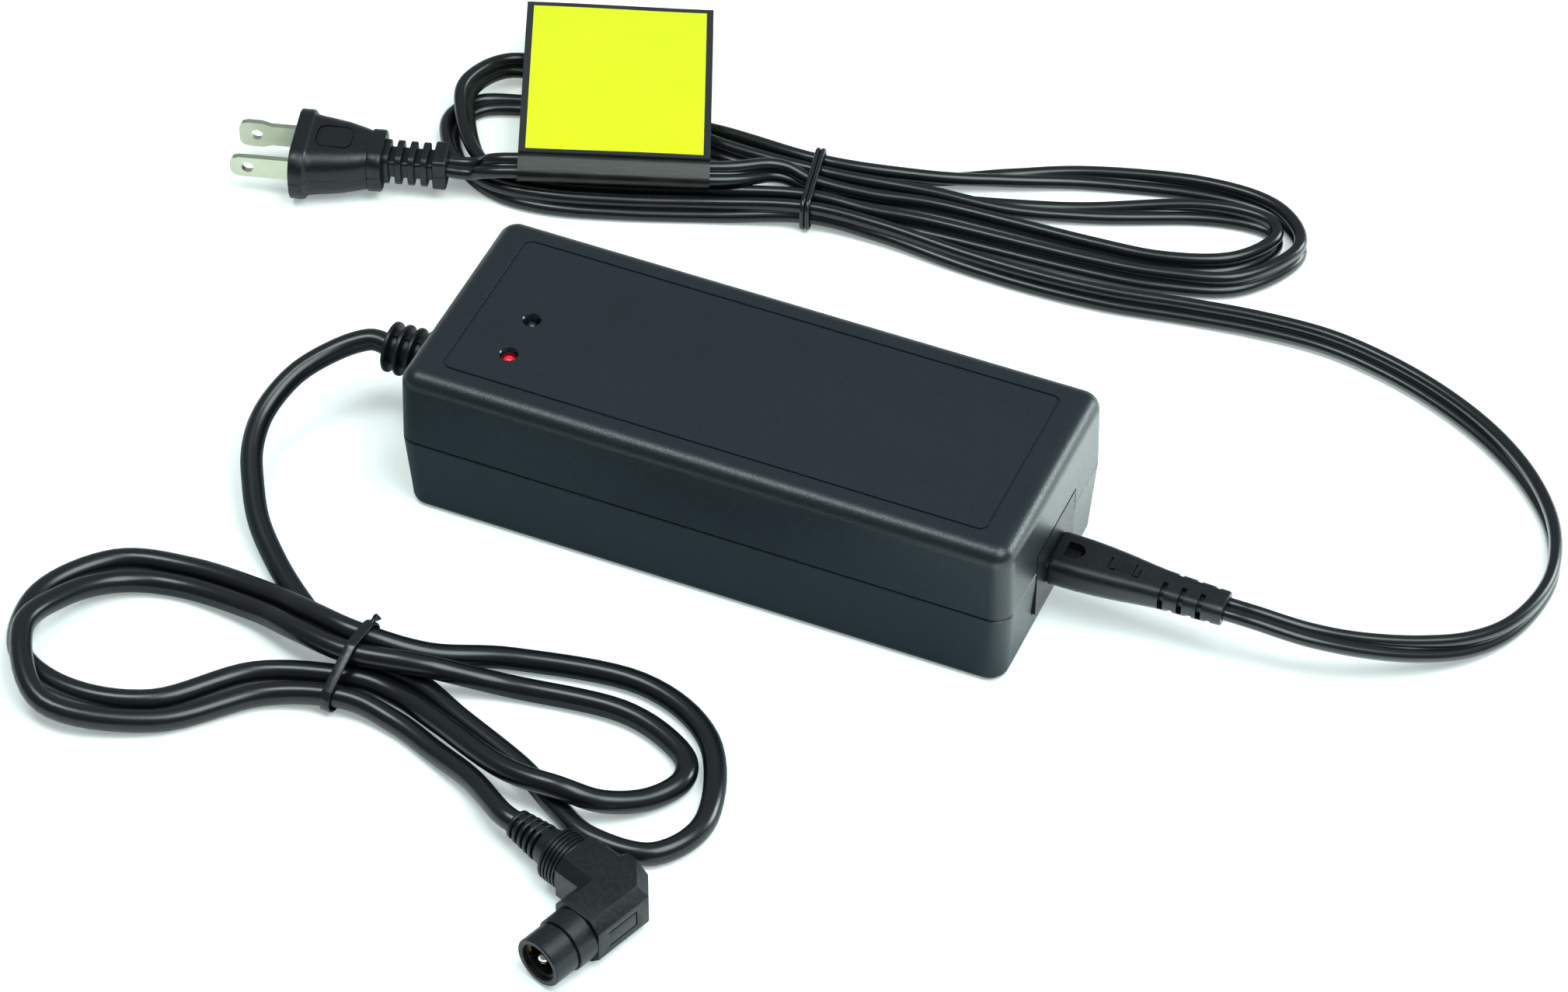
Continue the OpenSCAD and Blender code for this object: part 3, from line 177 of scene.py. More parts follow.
# ---- Low-voltage lead ----
# One round cable of soft black PVC, 5.5 mm thick, pressed out by an extruder. It is wound
# twice into a hank and held by a strap. Its skin keeps faint lines along its length.
def smooth(points, steps):
    """Points on the smooth curve through a list, so many to a span."""
    made = []
    last = len(points) - 1
    for i in range(last):
        span = [points[min(max(k, 0), last)] for k in (i - 1, i, i + 1, i + 2)]
        for j in range(steps):
            f = j / steps
            made.append(tuple(0.5 * (2 * b + (c - a) * f + (2 * a - 5 * b + 4 * c - d) * f * f
                                     + (3 * b - a - 3 * c + d) * f ** 3) for a, b, c, d in zip(*span)))
    return made + [tuple(points[-1])]


def hank(outline, twist, turns=2):
    """Winds a cord round an outline. A row is x, y, how far the first turn lies to the
    left, the height of each turn, how far each is rolled on its edge, in degrees, and how
    far the second is ahead of the first. What a row leaves out is 0."""
    points = []
    for t in range(turns):
        for i, row in enumerate(outline):
            x, y, left, *rest = tuple(row) + (0,) * (8 - len(row))
            after, before = outline[(i + 1) % len(outline)], outline[i - 1]
            along = Vector((after[0] - before[0], after[1] - before[1])).normalized()
            shift, lag = (left, -rest[4] / 2) if t == 0 else (-left, rest[4] / 2)
            points.append((x - along.y * shift + along.x * lag, y + along.x * shift + along.y * lag,
                           rest[t], rest[2 + t] - twist * (t + 1)))
    return points


def loft(rings, closed=False):
    """A closed skin over rings of points, with a narrow border round each end cap. Its UV
    map holds metres along and round it."""
    border = 0.06
    bm = bmesh.new()
    uv = bm.loops.layers.uv.new("run")
    n = len(rings[0])
    middles = [sum((Vector(p) for p in ring), Vector()) / n for ring in rings]
    if not closed:
        inner = [[Vector(p).lerp(middles[k], border) for p in rings[k]] for k in (0, -1)]
        rings, middles = [inner[0], *rings, inner[1]], [middles[0], *middles, middles[-1]]
    rows = [[bm.verts.new(p) for p in ring] for ring in rings]
    along = [0.0]
    for a, b in zip(middles, middles[1:] + middles[:1]):
        along.append(along[-1] + (b - a).length)
    longest = max(rings, key=lambda r: sum((Vector(r[k]) - Vector(r[k - 1])).length for k in range(n)))
    round_it = [0.0]
    for k in range(n):
        round_it.append(round_it[-1] + (Vector(longest[(k + 1) % n]) - Vector(longest[k])).length)
    for i in range(len(rows) if closed else len(rows) - 1):
        low, high = rows[i], rows[(i + 1) % len(rows)]
        for k in range(n):
            j = (k + 1) % n
            face = bm.faces.new((low[k], low[j], high[j], high[k]))
            for loop, place in zip(face.loops, ((i, k), (i, k + 1), (i + 1, k + 1), (i + 1, k))):
                loop[uv].uv = (along[place[0]], round_it[place[1]])
    if not closed:
        for row, i in ((rows[0], 0), (rows[-1], len(rows) - 1)):
            face = bm.faces.new(row)
            for loop in face.loops:
                loop[uv].uv = (along[i], 0)
    return bm


def circle(radius, sides):
    """Points round a circle."""
    angles = [2 * math.pi * k / sides for k in range(sides)]
    return [(radius * math.cos(a), radius * math.sin(a)) for a in angles]


def swept(path, section):
    """Rings of a section carried along a path of x, y, z, roll in millimetres."""
    rings = []
    for i, point in enumerate(path):
        ahead, behind = path[min(i + 1, len(path) - 1)], path[max(i - 1, 0)]
        along = (Vector(ahead[:3]) - Vector(behind[:3])).normalized()
        side = along.cross(UP).normalized()
        top = side.cross(along)
        c, s = math.cos(math.radians(point[3])), math.sin(math.radians(point[3]))
        middle = Vector(point[:3])
        rings.append([(middle + side * (x * c - y * s) + top * (x * s + y * c)) * MM for x, y in section])
    return rings


dc_d = 5.5
gland_end = (-95, -3, 21.9)
elbow_at = Vector((25.5, -132.5, 7.2))
elbow_turn = math.radians(-20)
elbow_dir = Vector((math.cos(elbow_turn), math.sin(elbow_turn), 0))
elbow_reach = 33
dc_lie = dc_d / 2 + 0.1
dc_exit = [gland_end, (-100.5, -3, 21.9), (-107.5, -8, 20), (-114, -17, 17.3), (-117, -28, 13.5),
           (-115.5, -38, 10.6), (-111, -47, 8.2), (-105, -56, 6), (-97, -64, 4.2), (-88.5, -71, 3.1),
           (-76.5, -79.5, dc_lie)]
dc_outline = [
    (-63.5, -89.5, 3.3, 4.2, 4.2), (-48.8, -90.1, 3.3, 3, 4.3), (-35.2, -95.9, 3.2, 2.9, 6.3),
    (-14.7, -104.6, 3.2, 2.9, 8.3), (-1, -109.1, -0.4, 2.9, 9), (9.5, -110.4, -4.6, 2.9, 5.6),
    (21.5, -106.2, -8.1, 2.9, 3.2, 0, 0, 4), (27.1, -94.4, -4.7, 2.9, 2.9, 0, 0, 9.6),
    (20, -79, -3.8, 2.9, 2.9), (0.5, -71, -5, 3, 3.1), (-28.5, -75, -4.5, 3.1, 3.3),
    (-47, -82.6, -3.75, 5.2, 8.9), (-64, -86.5, -3.1, 9.6, 9.4), (-79, -84, -3.1, 8.8, 8.4),
    (-92, -79.5, -3.1, 5.2, 5.2), (-113, -77.5, -3.2, 3, 3), (-129.5, -82.5, -4.2, 2.9, 4),
    (-139.5, -97, -4, 2.9, 7), (-138.5, -114, -0.6, 2.9, 9.2), (-123, -125.5, 4.4, 2.9, 6),
    (-100.5, -119.5, 3.4, 2.9, 3.1), (-82, -102, 3.8, 2.9, 3.1)]
dc_stop = elbow_at - elbow_reach * elbow_dir
dc_tail = [(-61.2, -99.2, 4.4), (-47, -100.3, 3), (-34, -105.2, 3), (-22, -111, 4.8),
           tuple(dc_stop - dc_d * elbow_dir), tuple(dc_stop)]
dc_path = smooth([(*p, 0) for p in dc_exit] + hank(dc_outline, 0) + [(*p, 0) for p in dc_tail], 8)

def two_tone(tree, dark, pale, blend, values, links):
    """Ends a material's tree in a skin of two close colours, mixed by a blend."""
    shade = add(tree, "ShaderNodeMix", {6: linear(dark), 7: linear(pale)}, {0: blend}, data_type="RGBA")
    skin = add(tree, "ShaderNodeBsdfPrincipled", values, {"Base Color": shade.outputs[2], **links})
    add(tree, "ShaderNodeOutputMaterial", links={"Surface": skin.outputs[0]})


# Plasticised PVC, pressed through a die: satin to glossy, with fine lines along it, and
# blotches about 10 mm long where the surface has bloomed
cable_pvc, tree = material("extruded_black_pvc")
run = add(tree, "ShaderNodeUVMap", uv_map="run")
drawn = add(tree, "ShaderNodeMapping", {"Scale": (14, 2600, 1)}, {"Vector": run.outputs[0]})
lines = add(tree, "ShaderNodeTexNoise", {"Scale": 1.0, "Detail": 2.0}, {"Vector": drawn.outputs[0]})
stretched = add(tree, "ShaderNodeMapping", {"Scale": (90, 160, 1)}, {"Vector": run.outputs[0]})
bloom = add(tree, "ShaderNodeTexNoise", {"Scale": 1.0, "Detail": 4.0, "Roughness": 0.6},
            {"Vector": stretched.outputs[0]})
sheen = add(tree, "ShaderNodeMapRange", {"To Min": 0.23, "To Max": 0.29}, {"Value": bloom.outputs["Fac"]})
ridges = add(tree, "ShaderNodeBump", {"Strength": 0.1, "Distance": 0.05 * MM},
             {"Height": lines.outputs["Fac"]})
two_tone(tree, "#0a0d10", "#111519", bloom.outputs["Fac"], {"IOR": 1.53},
         {"Roughness": sheen.outputs[0], "Normal": ridges.outputs[0]})

dc_cord = mesh_object("low_voltage_lead", loft(swept(dc_path, circle(dc_d / 2, 24))), cable_pvc)
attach(dc_cord, "charger")
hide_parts("dc_lead", "dc_hank", "dc_tail")


# ---- Mains cord ----
# Flat twin cord: two round cores side by side in one black PVC sheath, 6.8 by 3.4 mm, with
# a groove between them. It stands on edge round the bends and rolls flat on the straights.
ac_w, ac_t = 6.8, 3.4
connector_end = (122.3, 0, 15.8)
plug_turn = math.radians(16)
plug_dir = Vector((math.cos(plug_turn), math.sin(plug_turn), 0))
plug_at = Vector((-155.5, 65, 8.7))
plug_rear = plug_at + 39.5 * plug_dir
stand = ac_w / 2 + 0.1
ac_exit = [
    (*connector_end, 0), (129.1, 0, 15.8, 0), (142, 2, 13.4, -5), (154, 7, 10, -15), (166, 14, 6.9, -35),
    (176, 22, 4.8, -60), (183, 32, 3.8, -80), (186.5, 45, stand, -90), (186, 57, stand, -90),
    (181, 70, stand, -95), (171, 82.5, stand, -110), (158, 93, 3.3, -125), (143, 101, 3.2, -135),
    (127, 106.5, 3.2, -135), (110, 109.5, 3.2, -135), (92, 108.8, 3.2, -135), (73, 106, 3.2, -130),
    (54, 102.5, 3.3, -125), (35, 101, 3.3, -120), (15, 101, stand, -110), (-8, 102, 4.3, -95)]
ac_outline = [
    (-28.8, 102.2, 2.3, 5.2, 5.2, 90, 90), (-52, 95.4, 2.4, 3.3, 3.3, 60, 60),
    (-74, 87, 2.5, 3.3, 3.3, 60, 60), (-92, 81.2, 2.4, 3.5, 3.5, 70, 70),
    (-106, 80.4, 2.4, 3.5, 3.5, 100, 100), (-117, 86, 2.5, 3.3, 4.4, 120, 115),
    (-124.8, 97, 1.9, 2.9, 6.2, 135, 125), (-125.2, 107, -1.2, 2.35, 8.4, 165, 120),
    (-118, 116.5, -5.5, 1.9, 6.2, 180, 115), (-103, 119.5, -5, 1.9, 5.1, 180, 140),
    (-84, 118.5, 0, 1.95, 6.1, 180, 175), (-61, 117, 2.7, 3.1, 4.2, 135, 130),
    (-31.2, 116.1, 2, 5.2, 5.2, 90, 90), (-4, 123.5, 3.2, 3.4, 3.4, 55, 70),
    (16, 130.5, 5.6, 2.7, 2.4, 15, 20), (36, 138.5, 6.5, 2.4, 2, -20, 0),
    (63, 147, 4.4, 3, 3, -55, -50), (81.5, 147, 2.8, 3.5, 3.5, -80, -80),
    (89, 138, 3.4, 3.5, 3.5, -95, -95), (80.5, 124, 3.6, 3.4, 3.4, -110, -110),
    (63, 117.3, 3, 3.2, 3.2, -125, -125), (43, 114.8, 3.2, 3.1, 3.1, -130, -130),
    (4, 112.6, 3.4, 3.1, 3.1, -130, -130), (-14, 109.8, 3, 3.4, 3.4, -105, -105)]
sleeve_a, sleeve_b = (-54, 98.6, 10.1), (-99.5, 79.5, 12.4)
sleeve_roll = 35
half_turn, tail_twist = 180, -540
ac_tail = [(-30, 110.2, 5.2, -450), (-40, 108.8, 8, -462), (*sleeve_a, sleeve_roll + tail_twist),
           (*sleeve_b, sleeve_roll + tail_twist), (*(plug_rear + ac_w * plug_dir), -530),
           (*plug_rear, tail_twist)]
ac_path = smooth(ac_exit + hank(ac_outline, half_turn) + ac_tail, 8)


def twin_section(width, thick, sides=14):
    """Outline of two round cores joined by a narrow web, as x, y."""
    core = thick / 2
    web_share = 0.42
    open_to = math.pi - math.asin(web_share)
    points = []
    for side in (1, -1):
        for k in range(sides + 1):
            a = -open_to + 2 * open_to * k / sides
            points.append((side * (width / 2 - core) + side * core * math.cos(a), side * core * math.sin(a)))
    return points


ac_cord = mesh_object("mains_cord", loft(swept(ac_path, twin_section(ac_w, ac_t))), cable_pvc)
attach(ac_cord, "cordset")
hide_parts("ac_lead", "ac_hank", "ac_tail")


# ---- Moulded case ----
# Two shells of black ABS, 158 by 63.6 by 43.2 mm, held by four screws from below. The mould
# was spark-eroded, so the skin is finely pitted, with a shallow groove round the lid.
case_l, case_w, case_h, seam_z, seam_gap = 158, 63.6, 43.2, 21.9, 0.3
wall, corner_r, upper_edge, lower_edge = 2.2, 4.8, 4.2, 2.2
upper_lean, lower_lean = 0.3, 1.2
lap_in, lap_gap, lap_h, lap_r = 1.35, 0.25, 1.4, 3.7
groove_l, groove_w, groove_d = 140.5, 49.3, 0.4
screw_at = [(sx * 69.4, sy * 23.4) for sx in (-1, 1) for sy in (-1, 1)]
lamp_at = [(-56.8, -14.2), (-56.8, -1.2)]
inlet_w, inlet_h, inlet_z, window_gap = 24.4, 19.4, 17.2, 0.45
gland_y, gland_r = -3, 5.1


def moulded(name, dark, pale, rough, grain, relief, ior=1.53, metal=0.0, shine=0.5):
    """A moulded or pressed finish: two close colours in blotches under a fine grain. The
    grain's spacing and depth are in millimetres; rough is the least and most roughness."""
    made, tree = material(name)
    place = add(tree, "ShaderNodeTexCoord").outputs["Object"]
    blotch = add(tree, "ShaderNodeTexNoise", {"Scale": 1 / (16 * MM), "Detail": 5.0, "Roughness": 0.6},
                 {"Vector": place})
    fine = add(tree, "ShaderNodeTexNoise", {"Scale": 1 / (grain * MM), "Detail": 2.0}, {"Vector": place})
    gloss = add(tree, "ShaderNodeMapRange",
                {"From Min": 0.3, "From Max": 0.7, "To Min": rough[0], "To Max": rough[1]},
                {"Value": fine.outputs["Fac"]})
    pits = add(tree, "ShaderNodeBump", {"Strength": 1.0, "Distance": relief * MM},
               {"Height": fine.outputs["Fac"]})
    two_tone(tree, dark, pale, blotch.outputs["Fac"],
             {"IOR": ior, "Metallic": metal, "Specular IOR Level": shine},
             {"Roughness": gloss.outputs[0], "Normal": pits.outputs[0]})
    return made


def rounded(width, height, radius, steps=8, ridge=0.0):
    """Points round a rectangle with rounded corners and, if asked, a fine ridge on both sides."""
    foot = 0.16
    points = []
    for quarter, (sx, sy) in enumerate(((1, 1), (-1, 1), (-1, -1), (1, -1))):
        middle_x, middle_y = sx * (width / 2 - radius), sy * (height / 2 - radius)
        for k in range(steps + 1):
            a = math.pi / 2 * (quarter + k / steps)
            points.append((middle_x + radius * math.cos(a), middle_y + radius * math.sin(a)))
        if ridge and quarter in (1, 3):
            points += [(sx * (width / 2 + out), up)
                       for out, up in ((0, sy * foot), (ridge, 0), (0, -sy * foot))]
    return points


def level(stations):
    """Rings round the middle of the case from rows of length, width, corner radius and height."""
    return [[(x, y, z) for x, y in rounded(length, width, radius)] for length, width, radius, z in stations]


def shell_face(length, width, radius, seam, flat, lean, edge, lip=0.25):
    """One face of a shell, from its seam up the leaning wall and over the rounded edge."""
    way = 1 if flat > seam else -1
    turn_in, steps_round = 0.3, 8
    steps = [(lip, seam), (0, seam + way * lip), (0.01, seam + way * 2 * lip),
             (lean, flat - way * (edge + turn_in))]
    steps += [(lean + edge * (1 - math.cos(a)), flat - way * edge * (1 - math.sin(a)))
              for a in (math.pi / 2 * k / steps_round for k in range(steps_round + 1))]
    steps.append((lean + edge + turn_in, flat))
    return [(length - 2 * i, width - 2 * i, max(radius - max(i - lean, 0), 0.3), z) for i, z in steps]


def turned(profile):
    """A turned solid about Z from rows of height and radius, closed at both ends."""
    return loft([[(x, y, z) for x, y in circle(r, 40)] for z, r in profile])


def box(low, high):
    """A box between two corners."""
    (x0, y0, z0), (x1, y1, z1) = low, high
    return loft([[(x0, y0, z), (x1, y0, z), (x1, y1, z), (x0, y1, z)] for z in (z0, z1)])


def standing(profile, places):
    """The same turned solid, upright at each place."""
    return [moved(turned(profile), Matrix.Translation((x, y, 0))) for x, y in places]


def gather(parts):
    """One bmesh from several."""
    whole = bmesh.new()
    for part in parts:
        mesh = bpy.data.meshes.new("part")
        part.to_mesh(mesh)
        part.free()
        whole.from_mesh(mesh)
        bpy.data.meshes.remove(mesh)
    return whole


def moved(bm, place):
    """The same bmesh at another place."""
    bm.transform(place)
    return bm


def bake(piece, angle=32):
    """Turns a piece's modifiers into its mesh, with edges sharp from an angle in degrees."""
    bpy.context.view_layer.update()
    mesh = bpy.data.meshes.new_from_object(piece.evaluated_get(bpy.context.evaluated_depsgraph_get()))
    piece.modifiers.clear()
    piece.data = mesh
    mesh.shade_smooth()
    mesh.set_sharp_from_angle(angle=math.radians(angle))


def carve(piece, cutter, operation="DIFFERENCE"):
    """Cuts a bmesh out of a piece, or joins it on."""
    tool = mesh_object("tool", cutter, piece.data.materials[0])
    cut = piece.modifiers.new("cut", "BOOLEAN")
    cut.object, cut.operation, cut.solver, cut.use_self = tool, operation, "EXACT", True
    bake(piece)
    bpy.data.objects.remove(tool)


def seat(piece, body, finish, *nodes):
    """Puts a piece on its body and hides the modelled nodes that it stands for. The finish is not used."""
    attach(piece, body)
    if nodes:
        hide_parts(*nodes)


# Spark-eroded ABS: matt, with a soft sheen along rounded edges; the pits are 0.35 mm apart
case_abs = moulded("spark_eroded_black_abs", "#0d161c", "#131d24", (0.28, 0.42), 0.35, 0.05)
# The same ABS where the mould was polished: glossy, with faint waves
dish_abs = moulded("polished_black_abs", "#0c0f12", "#121619", (0.1, 0.16), 1.5, 0.004)
scale = Matrix.Scale(MM, 4)
lap = (case_l - 2 * lap_in, case_w - 2 * lap_in, lap_r)
inner_l, inner_w, inner_r = case_l - 2 * wall, case_w - 2 * wall, corner_r - wall
upper_inner_edge, lower_inner_edge, inner_lip = 2, 0.6, 0.05

# The lid's groove, from its outer edge to its inner one: inset, corner radius and depth
lip_d = 0.08
groove = [(groove_l - 2 * i, groove_w - 2 * i, r, case_h - d) for i, r, d in
          ((0, 2.4, 0), (0.05, 2.4, lip_d), (0.1, 2.4, groove_d), (0.6, 1.9, groove_d), (0.65, 1.9, lip_d),
           (0.7, 1.9, 0), (0.95, 1.9, 0))]
inside = shell_face(inner_l, inner_w, inner_r, seam_z + seam_gap, case_h - wall, upper_lean,
                    upper_inner_edge, inner_lip)
tongue = [(inner_l, inner_w, inner_r, seam_z - lap_h), (*lap, seam_z - lap_h), (*lap, seam_z + seam_gap)]
outside = shell_face(case_l, case_w, corner_r, seam_z + seam_gap, case_h, upper_lean, upper_edge)
shell = loft(level(inside[::-1] + tongue + outside + groove))
upper = mesh_object("upper_shell", moved(shell, scale), case_abs)

# Screw bosses hang from the lid, and a short ring stands round each lamp's hole
boss_top, boss_r, ring_r = case_h - 1.4, 3.4, 3.2
bosses = standing([(seam_z, boss_r), (boss_top, boss_r)], screw_at)
bosses += standing([(boss_top - 3.2, ring_r), (boss_top, ring_r)], lamp_at)
carve(upper, moved(gather(bosses), scale), "UNION")

# Both shells are cut alike for the inlet's window and for the gland
half_w, half_h = inlet_w / 2 + window_gap, inlet_h / 2 + window_gap
window = ((case_l / 2 - 3.9, -half_w, inlet_z - half_h), (case_l / 2 + 1, half_w, inlet_z + half_h))
gland_hole = Matrix.Translation((-case_l / 2 - 4, gland_y, seam_z)) @ Matrix.Rotation(math.pi / 2, 4, "Y")


def openings():
    """The window and the gland's hole, to cut from a shell."""
    return [box(*window), moved(turned([(0, gland_r), (8, gland_r)]), gland_hole)]


pilot_r, lamp_r = 1.5, 1.62
dish = [(case_h - 7.2, lamp_r), (case_h - 1.3, lamp_r), (case_h - 0.9, 1.75), (case_h - 0.45, 2),
        (case_h - 0.15, 2.2), (case_h, 2.35), (case_h + 0.4, 2.7)]
cuts = standing([(20, pilot_r), (33, pilot_r)], screw_at) + standing(dish, lamp_at)
carve(upper, moved(gather(cuts + openings()), scale))
upper.data.materials.append(dish_abs)
dish_low, dish_reach, level_normal = case_h - 1.7, 2.5, 0.97
for face in upper.data.polygons:
    spot = face.center / MM
    near = min(math.hypot(spot.x - x, spot.y - y) for x, y in lamp_at) < dish_reach
    if near and spot.z > dish_low and abs(face.normal.z) < level_normal:
        face.material_index = 1
seat(upper, "charger", "case", "upper_case")

lap = (case_l - 2 * (lap_in - lap_gap), case_w - 2 * (lap_in - lap_gap), lap_r)
lap_floor = seam_z - lap_h - lap_gap
inside = shell_face(inner_l, inner_w, inner_r, lap_floor, wall, lower_lean, lower_inner_edge, inner_lip)
rim = [(*lap, lap_floor), (*lap, seam_z)]
outside = shell_face(case_l, case_w, corner_r, seam_z, 0, lower_lean, lower_edge)
shell = loft(level(inside[::-1] + rim + outside))
lower = mesh_object("lower_shell", moved(shell, scale), case_abs)
# A post round each screw, with a well for its head and a hole for its shank
post_r, well_r, well_d, shank_r = 4.2, 3, 8, 1.7
posts = standing([(1.1, post_r), (seam_z - 0.2, post_r)], screw_at)
carve(lower, moved(gather(posts), scale), "UNION")
well = [(-1, 3.4), (0, 3.2), (0.3, well_r), (well_d, well_r), (well_d + 0.001, shank_r), (23, shank_r)]
carve(lower, moved(gather(standing(well, screw_at) + openings()), scale))
seat(lower, "charger", "case", "lower_case")


def dress(coat, *nodes):
    """Gives modelled nodes their finish."""
    for name in nodes:
        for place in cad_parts[name].material_slots:
            place.material = coat


# Zinc-plated steel: bright, slightly blue and clouded
zinc = moulded("zinc_plated_steel", "#a9adb0", "#c3c8cc", (0.25, 0.4), 0.5, 0.004, ior=1.5, metal=1.0)
dress(zinc, "case_screws")


# ---- Indicator lamps ----
# Two 3 mm light-emitting diodes, cast in epoxy, that stand in dished holes in the lid. The
# front one is dyed red and lit; the other is clear epoxy, tinted dark as painted shade of
# the hollow behind it.
lens_top, lens_r, flange_r, flange_z = case_h - 1.1, 1.5, 1.9, 37.5
lead_y, lead_w, lead_foot = 0.9, 0.5, 29.6


def lens(name, place, coat):
    """A domed lamp on its flange, with two flat leads below."""
    dome = [(lens_top - lens_r + lens_r * math.sin(a), lens_r * math.cos(a))
            for a in (math.pi / 18 * k for k in range(9))]
    parts = [turned([(flange_z, flange_r), (flange_z + 1, flange_r), (flange_z + 1.001, lens_r)] + dome)]
    parts += [box((-0.3, y - lead_w / 2, lead_foot), (0.2, y + lead_w / 2, flange_z + 0.1))
              for y in (-lead_y, lead_y)]
    return mesh_object(name, moved(gather(parts), scale @ Matrix.Translation((*place, 0))), coat)


def cast_epoxy(name, colour, glow, strength):
    """Clear or dyed epoxy, glossy, lit from the cup inside."""
    made, tree = material(name)
    place = add(tree, "ShaderNodeTexCoord").outputs["Object"]
    cloud = add(tree, "ShaderNodeTexNoise", {"Scale": 1 / (1.2 * MM)}, {"Vector": place})
    rough = add(tree, "ShaderNodeMapRange", {"To Min": 0.04, "To Max": 0.14}, {"Value": cloud.outputs["Fac"]})
    skin = add(tree, "ShaderNodeBsdfPrincipled",
               {"Base Color": linear(colour), "IOR": 1.54, "Transmission Weight": 0.5,
                "Emission Color": linear(glow), "Emission Strength": strength},
               {"Roughness": rough.outputs[0]})
    add(tree, "ShaderNodeOutputMaterial", links={"Surface": skin.outputs[0]})
    return made


red_epoxy = cast_epoxy("red_dyed_epoxy", "#c00c28", "#ff2038", 0.7)
# The clear lens is tinted dark: painted shade of its dark hollow, not a dye.
clear_epoxy_painted_shade = cast_epoxy("clear_epoxy_painted_shade", "#2c3236", "#ffffff", 0.0)
seat(lens("charging_lens", lamp_at[0], red_epoxy), "charger", "lamp_red", "charge_lamp")
seat(lens("power_lens", lamp_at[1], clear_epoxy_painted_shade), "charger", "lamp_clear", "power_lamp")


# ---- Mains inlet ----
# A two-pin inlet moulded in black nylon, pushed into its window from inside. Its two pins
# are nickel-plated brass, as is the low-voltage plug's centre pin.
# Moulded nylon: satin black. Nickel plate over brass: bright and slightly yellow in the
# inlet. The centre pin has a paler, softer copy of it: painted light, so that the pin shows
# bright where it mirrors dark surroundings.
inlet_nylon = moulded("moulded_black_nylon", "#090b0d", "#0e1113", (0.34, 0.44), 0.8, 0.002, shine=0.4)
bright_nickel = moulded("bright_nickel_plate", "#c8c6bc", "#dedcd4", (0.12, 0.22), 1.5, 0.001, ior=1.5,
                        metal=1.0)
# A paler copy of the same nickel for the centre pin: painted light.
nickel_painted_pale = moulded("nickel_plate_painted_pale", "#efece2", "#fbf8f0", (0.2, 0.3), 1.5, 0.001, ior=1.5,
                          metal=1.0)
dress(inlet_nylon, "inlet_housing")
dress(bright_nickel, "inlet_pins")
dress(nickel_painted_pale, "centre_pin")


# ---- Output gland ----
# A strain relief of soft black PVC: four rings on a tapered sleeve, joined by webs above and
# below, with a flange that seats against the outside of the case.
def tree_of(name, inputs):
    """An empty tree with named inputs: each has its kind and, where it has one, its value."""
    tree = bpy.data.node_groups.new(name, "GeometryNodeTree")
    for label, (kind, value) in inputs.items():
        made = tree.interface.new_socket(label, in_out="INPUT", socket_type=kind)
        if value is not None:
            made.default_value = value
    tree.interface.new_socket("Geometry", in_out="OUTPUT", socket_type="NodeSocketGeometry")
    return tree


real, whole = "NodeSocketFloat", "NodeSocketInt"
ribs = tree_of("row_of_ribs", {"Count": (whole, 4), "Pitch": (real, 3.0), "Across": (real, 10.0),
                               "Height": (real, 10.0), "Corner": (real, 2.0), "Width": (real, 1.5),
                               "Depth": (real, 2.0), "Edge": (real, 0.3), "Rim": (real, 1.5),
                               "Growth": (real, 0.0), "Finish": ("NodeSocketMaterial", None)})
given = add(ribs, "NodeGroupInput").outputs
middle_w = add(ribs, "ShaderNodeMath", links={0: given["Across"], 1: given["Depth"]}, operation="SUBTRACT")
middle_h = add(ribs, "ShaderNodeMath", links={0: given["Height"], 1: given["Depth"]}, operation="SUBTRACT")
square = add(ribs, "GeometryNodeCurvePrimitiveQuadrilateral",
             links={"Width": middle_w.outputs[0], "Height": middle_h.outputs[0]})
course = add(ribs, "GeometryNodeFilletCurve", {"Count": 9, "Limit Radius": True},
             {"Curve": square.outputs[0], "Radius": given["Corner"]}, mode="POLY")
blank = add(ribs, "GeometryNodeCurvePrimitiveQuadrilateral", {"Offset": 0.0},
            {"Height": given["Depth"], "Bottom Width": given["Rim"], "Top Width": given["Width"]},
            mode="TRAPEZOID")
tipped = add(ribs, "GeometryNodeTransform", {"Rotation": (0, 0, math.pi / 2)}, {"Geometry": blank.outputs[0]})
profile = add(ribs, "GeometryNodeFilletCurve", {"Count": 3, "Limit Radius": True},
              {"Curve": tipped.outputs[0], "Radius": given["Edge"]}, mode="POLY")
rib = add(ribs, "GeometryNodeCurveToMesh",
          links={"Curve": course.outputs[0], "Profile Curve": profile.outputs[0]})
step = add(ribs, "ShaderNodeCombineXYZ", links={"Z": given["Pitch"]})
line = add(ribs, "GeometryNodeMeshLine", links={"Count": given["Count"], "Offset": step.outputs[0]})
index = add(ribs, "GeometryNodeInputIndex")
more = add(ribs, "ShaderNodeMath", {2: 1.0}, {0: index.outputs[0], 1: given["Growth"]},
           operation="MULTIPLY_ADD")
size = add(ribs, "ShaderNodeCombineXYZ", {"Z": 1.0}, {"X": more.outputs[0], "Y": more.outputs[0]})
row = add(ribs, "GeometryNodeInstanceOnPoints",
          links={"Points": line.outputs[0], "Instance": rib.outputs[0], "Scale": size.outputs[0]})
solid = add(ribs, "GeometryNodeRealizeInstances", links={"Geometry": row.outputs[0]})
coated = add(ribs, "GeometryNodeSetMaterial",
             links={"Geometry": solid.outputs[0], "Material": given["Finish"]})
add(ribs, "NodeGroupOutput", links={0: coated.outputs[0]})


def grown(name, tree, place, **sizes):
    """A piece that a tree makes; each input is set by its socket's identifier."""
    piece = bpy.data.objects.new(name, bpy.data.meshes.new(name))
    made = piece.modifiers.new("made", "NODES")
    made.node_group = tree
    for socket in tree.interface.items_tree:
        if socket.in_out == "INPUT" and socket.name in sizes:
            made[socket.identifier] = sizes[socket.name]
    bpy.context.scene.collection.objects.link(piece)
    bake(piece, 50)
    piece.data.transform(place)
    return piece


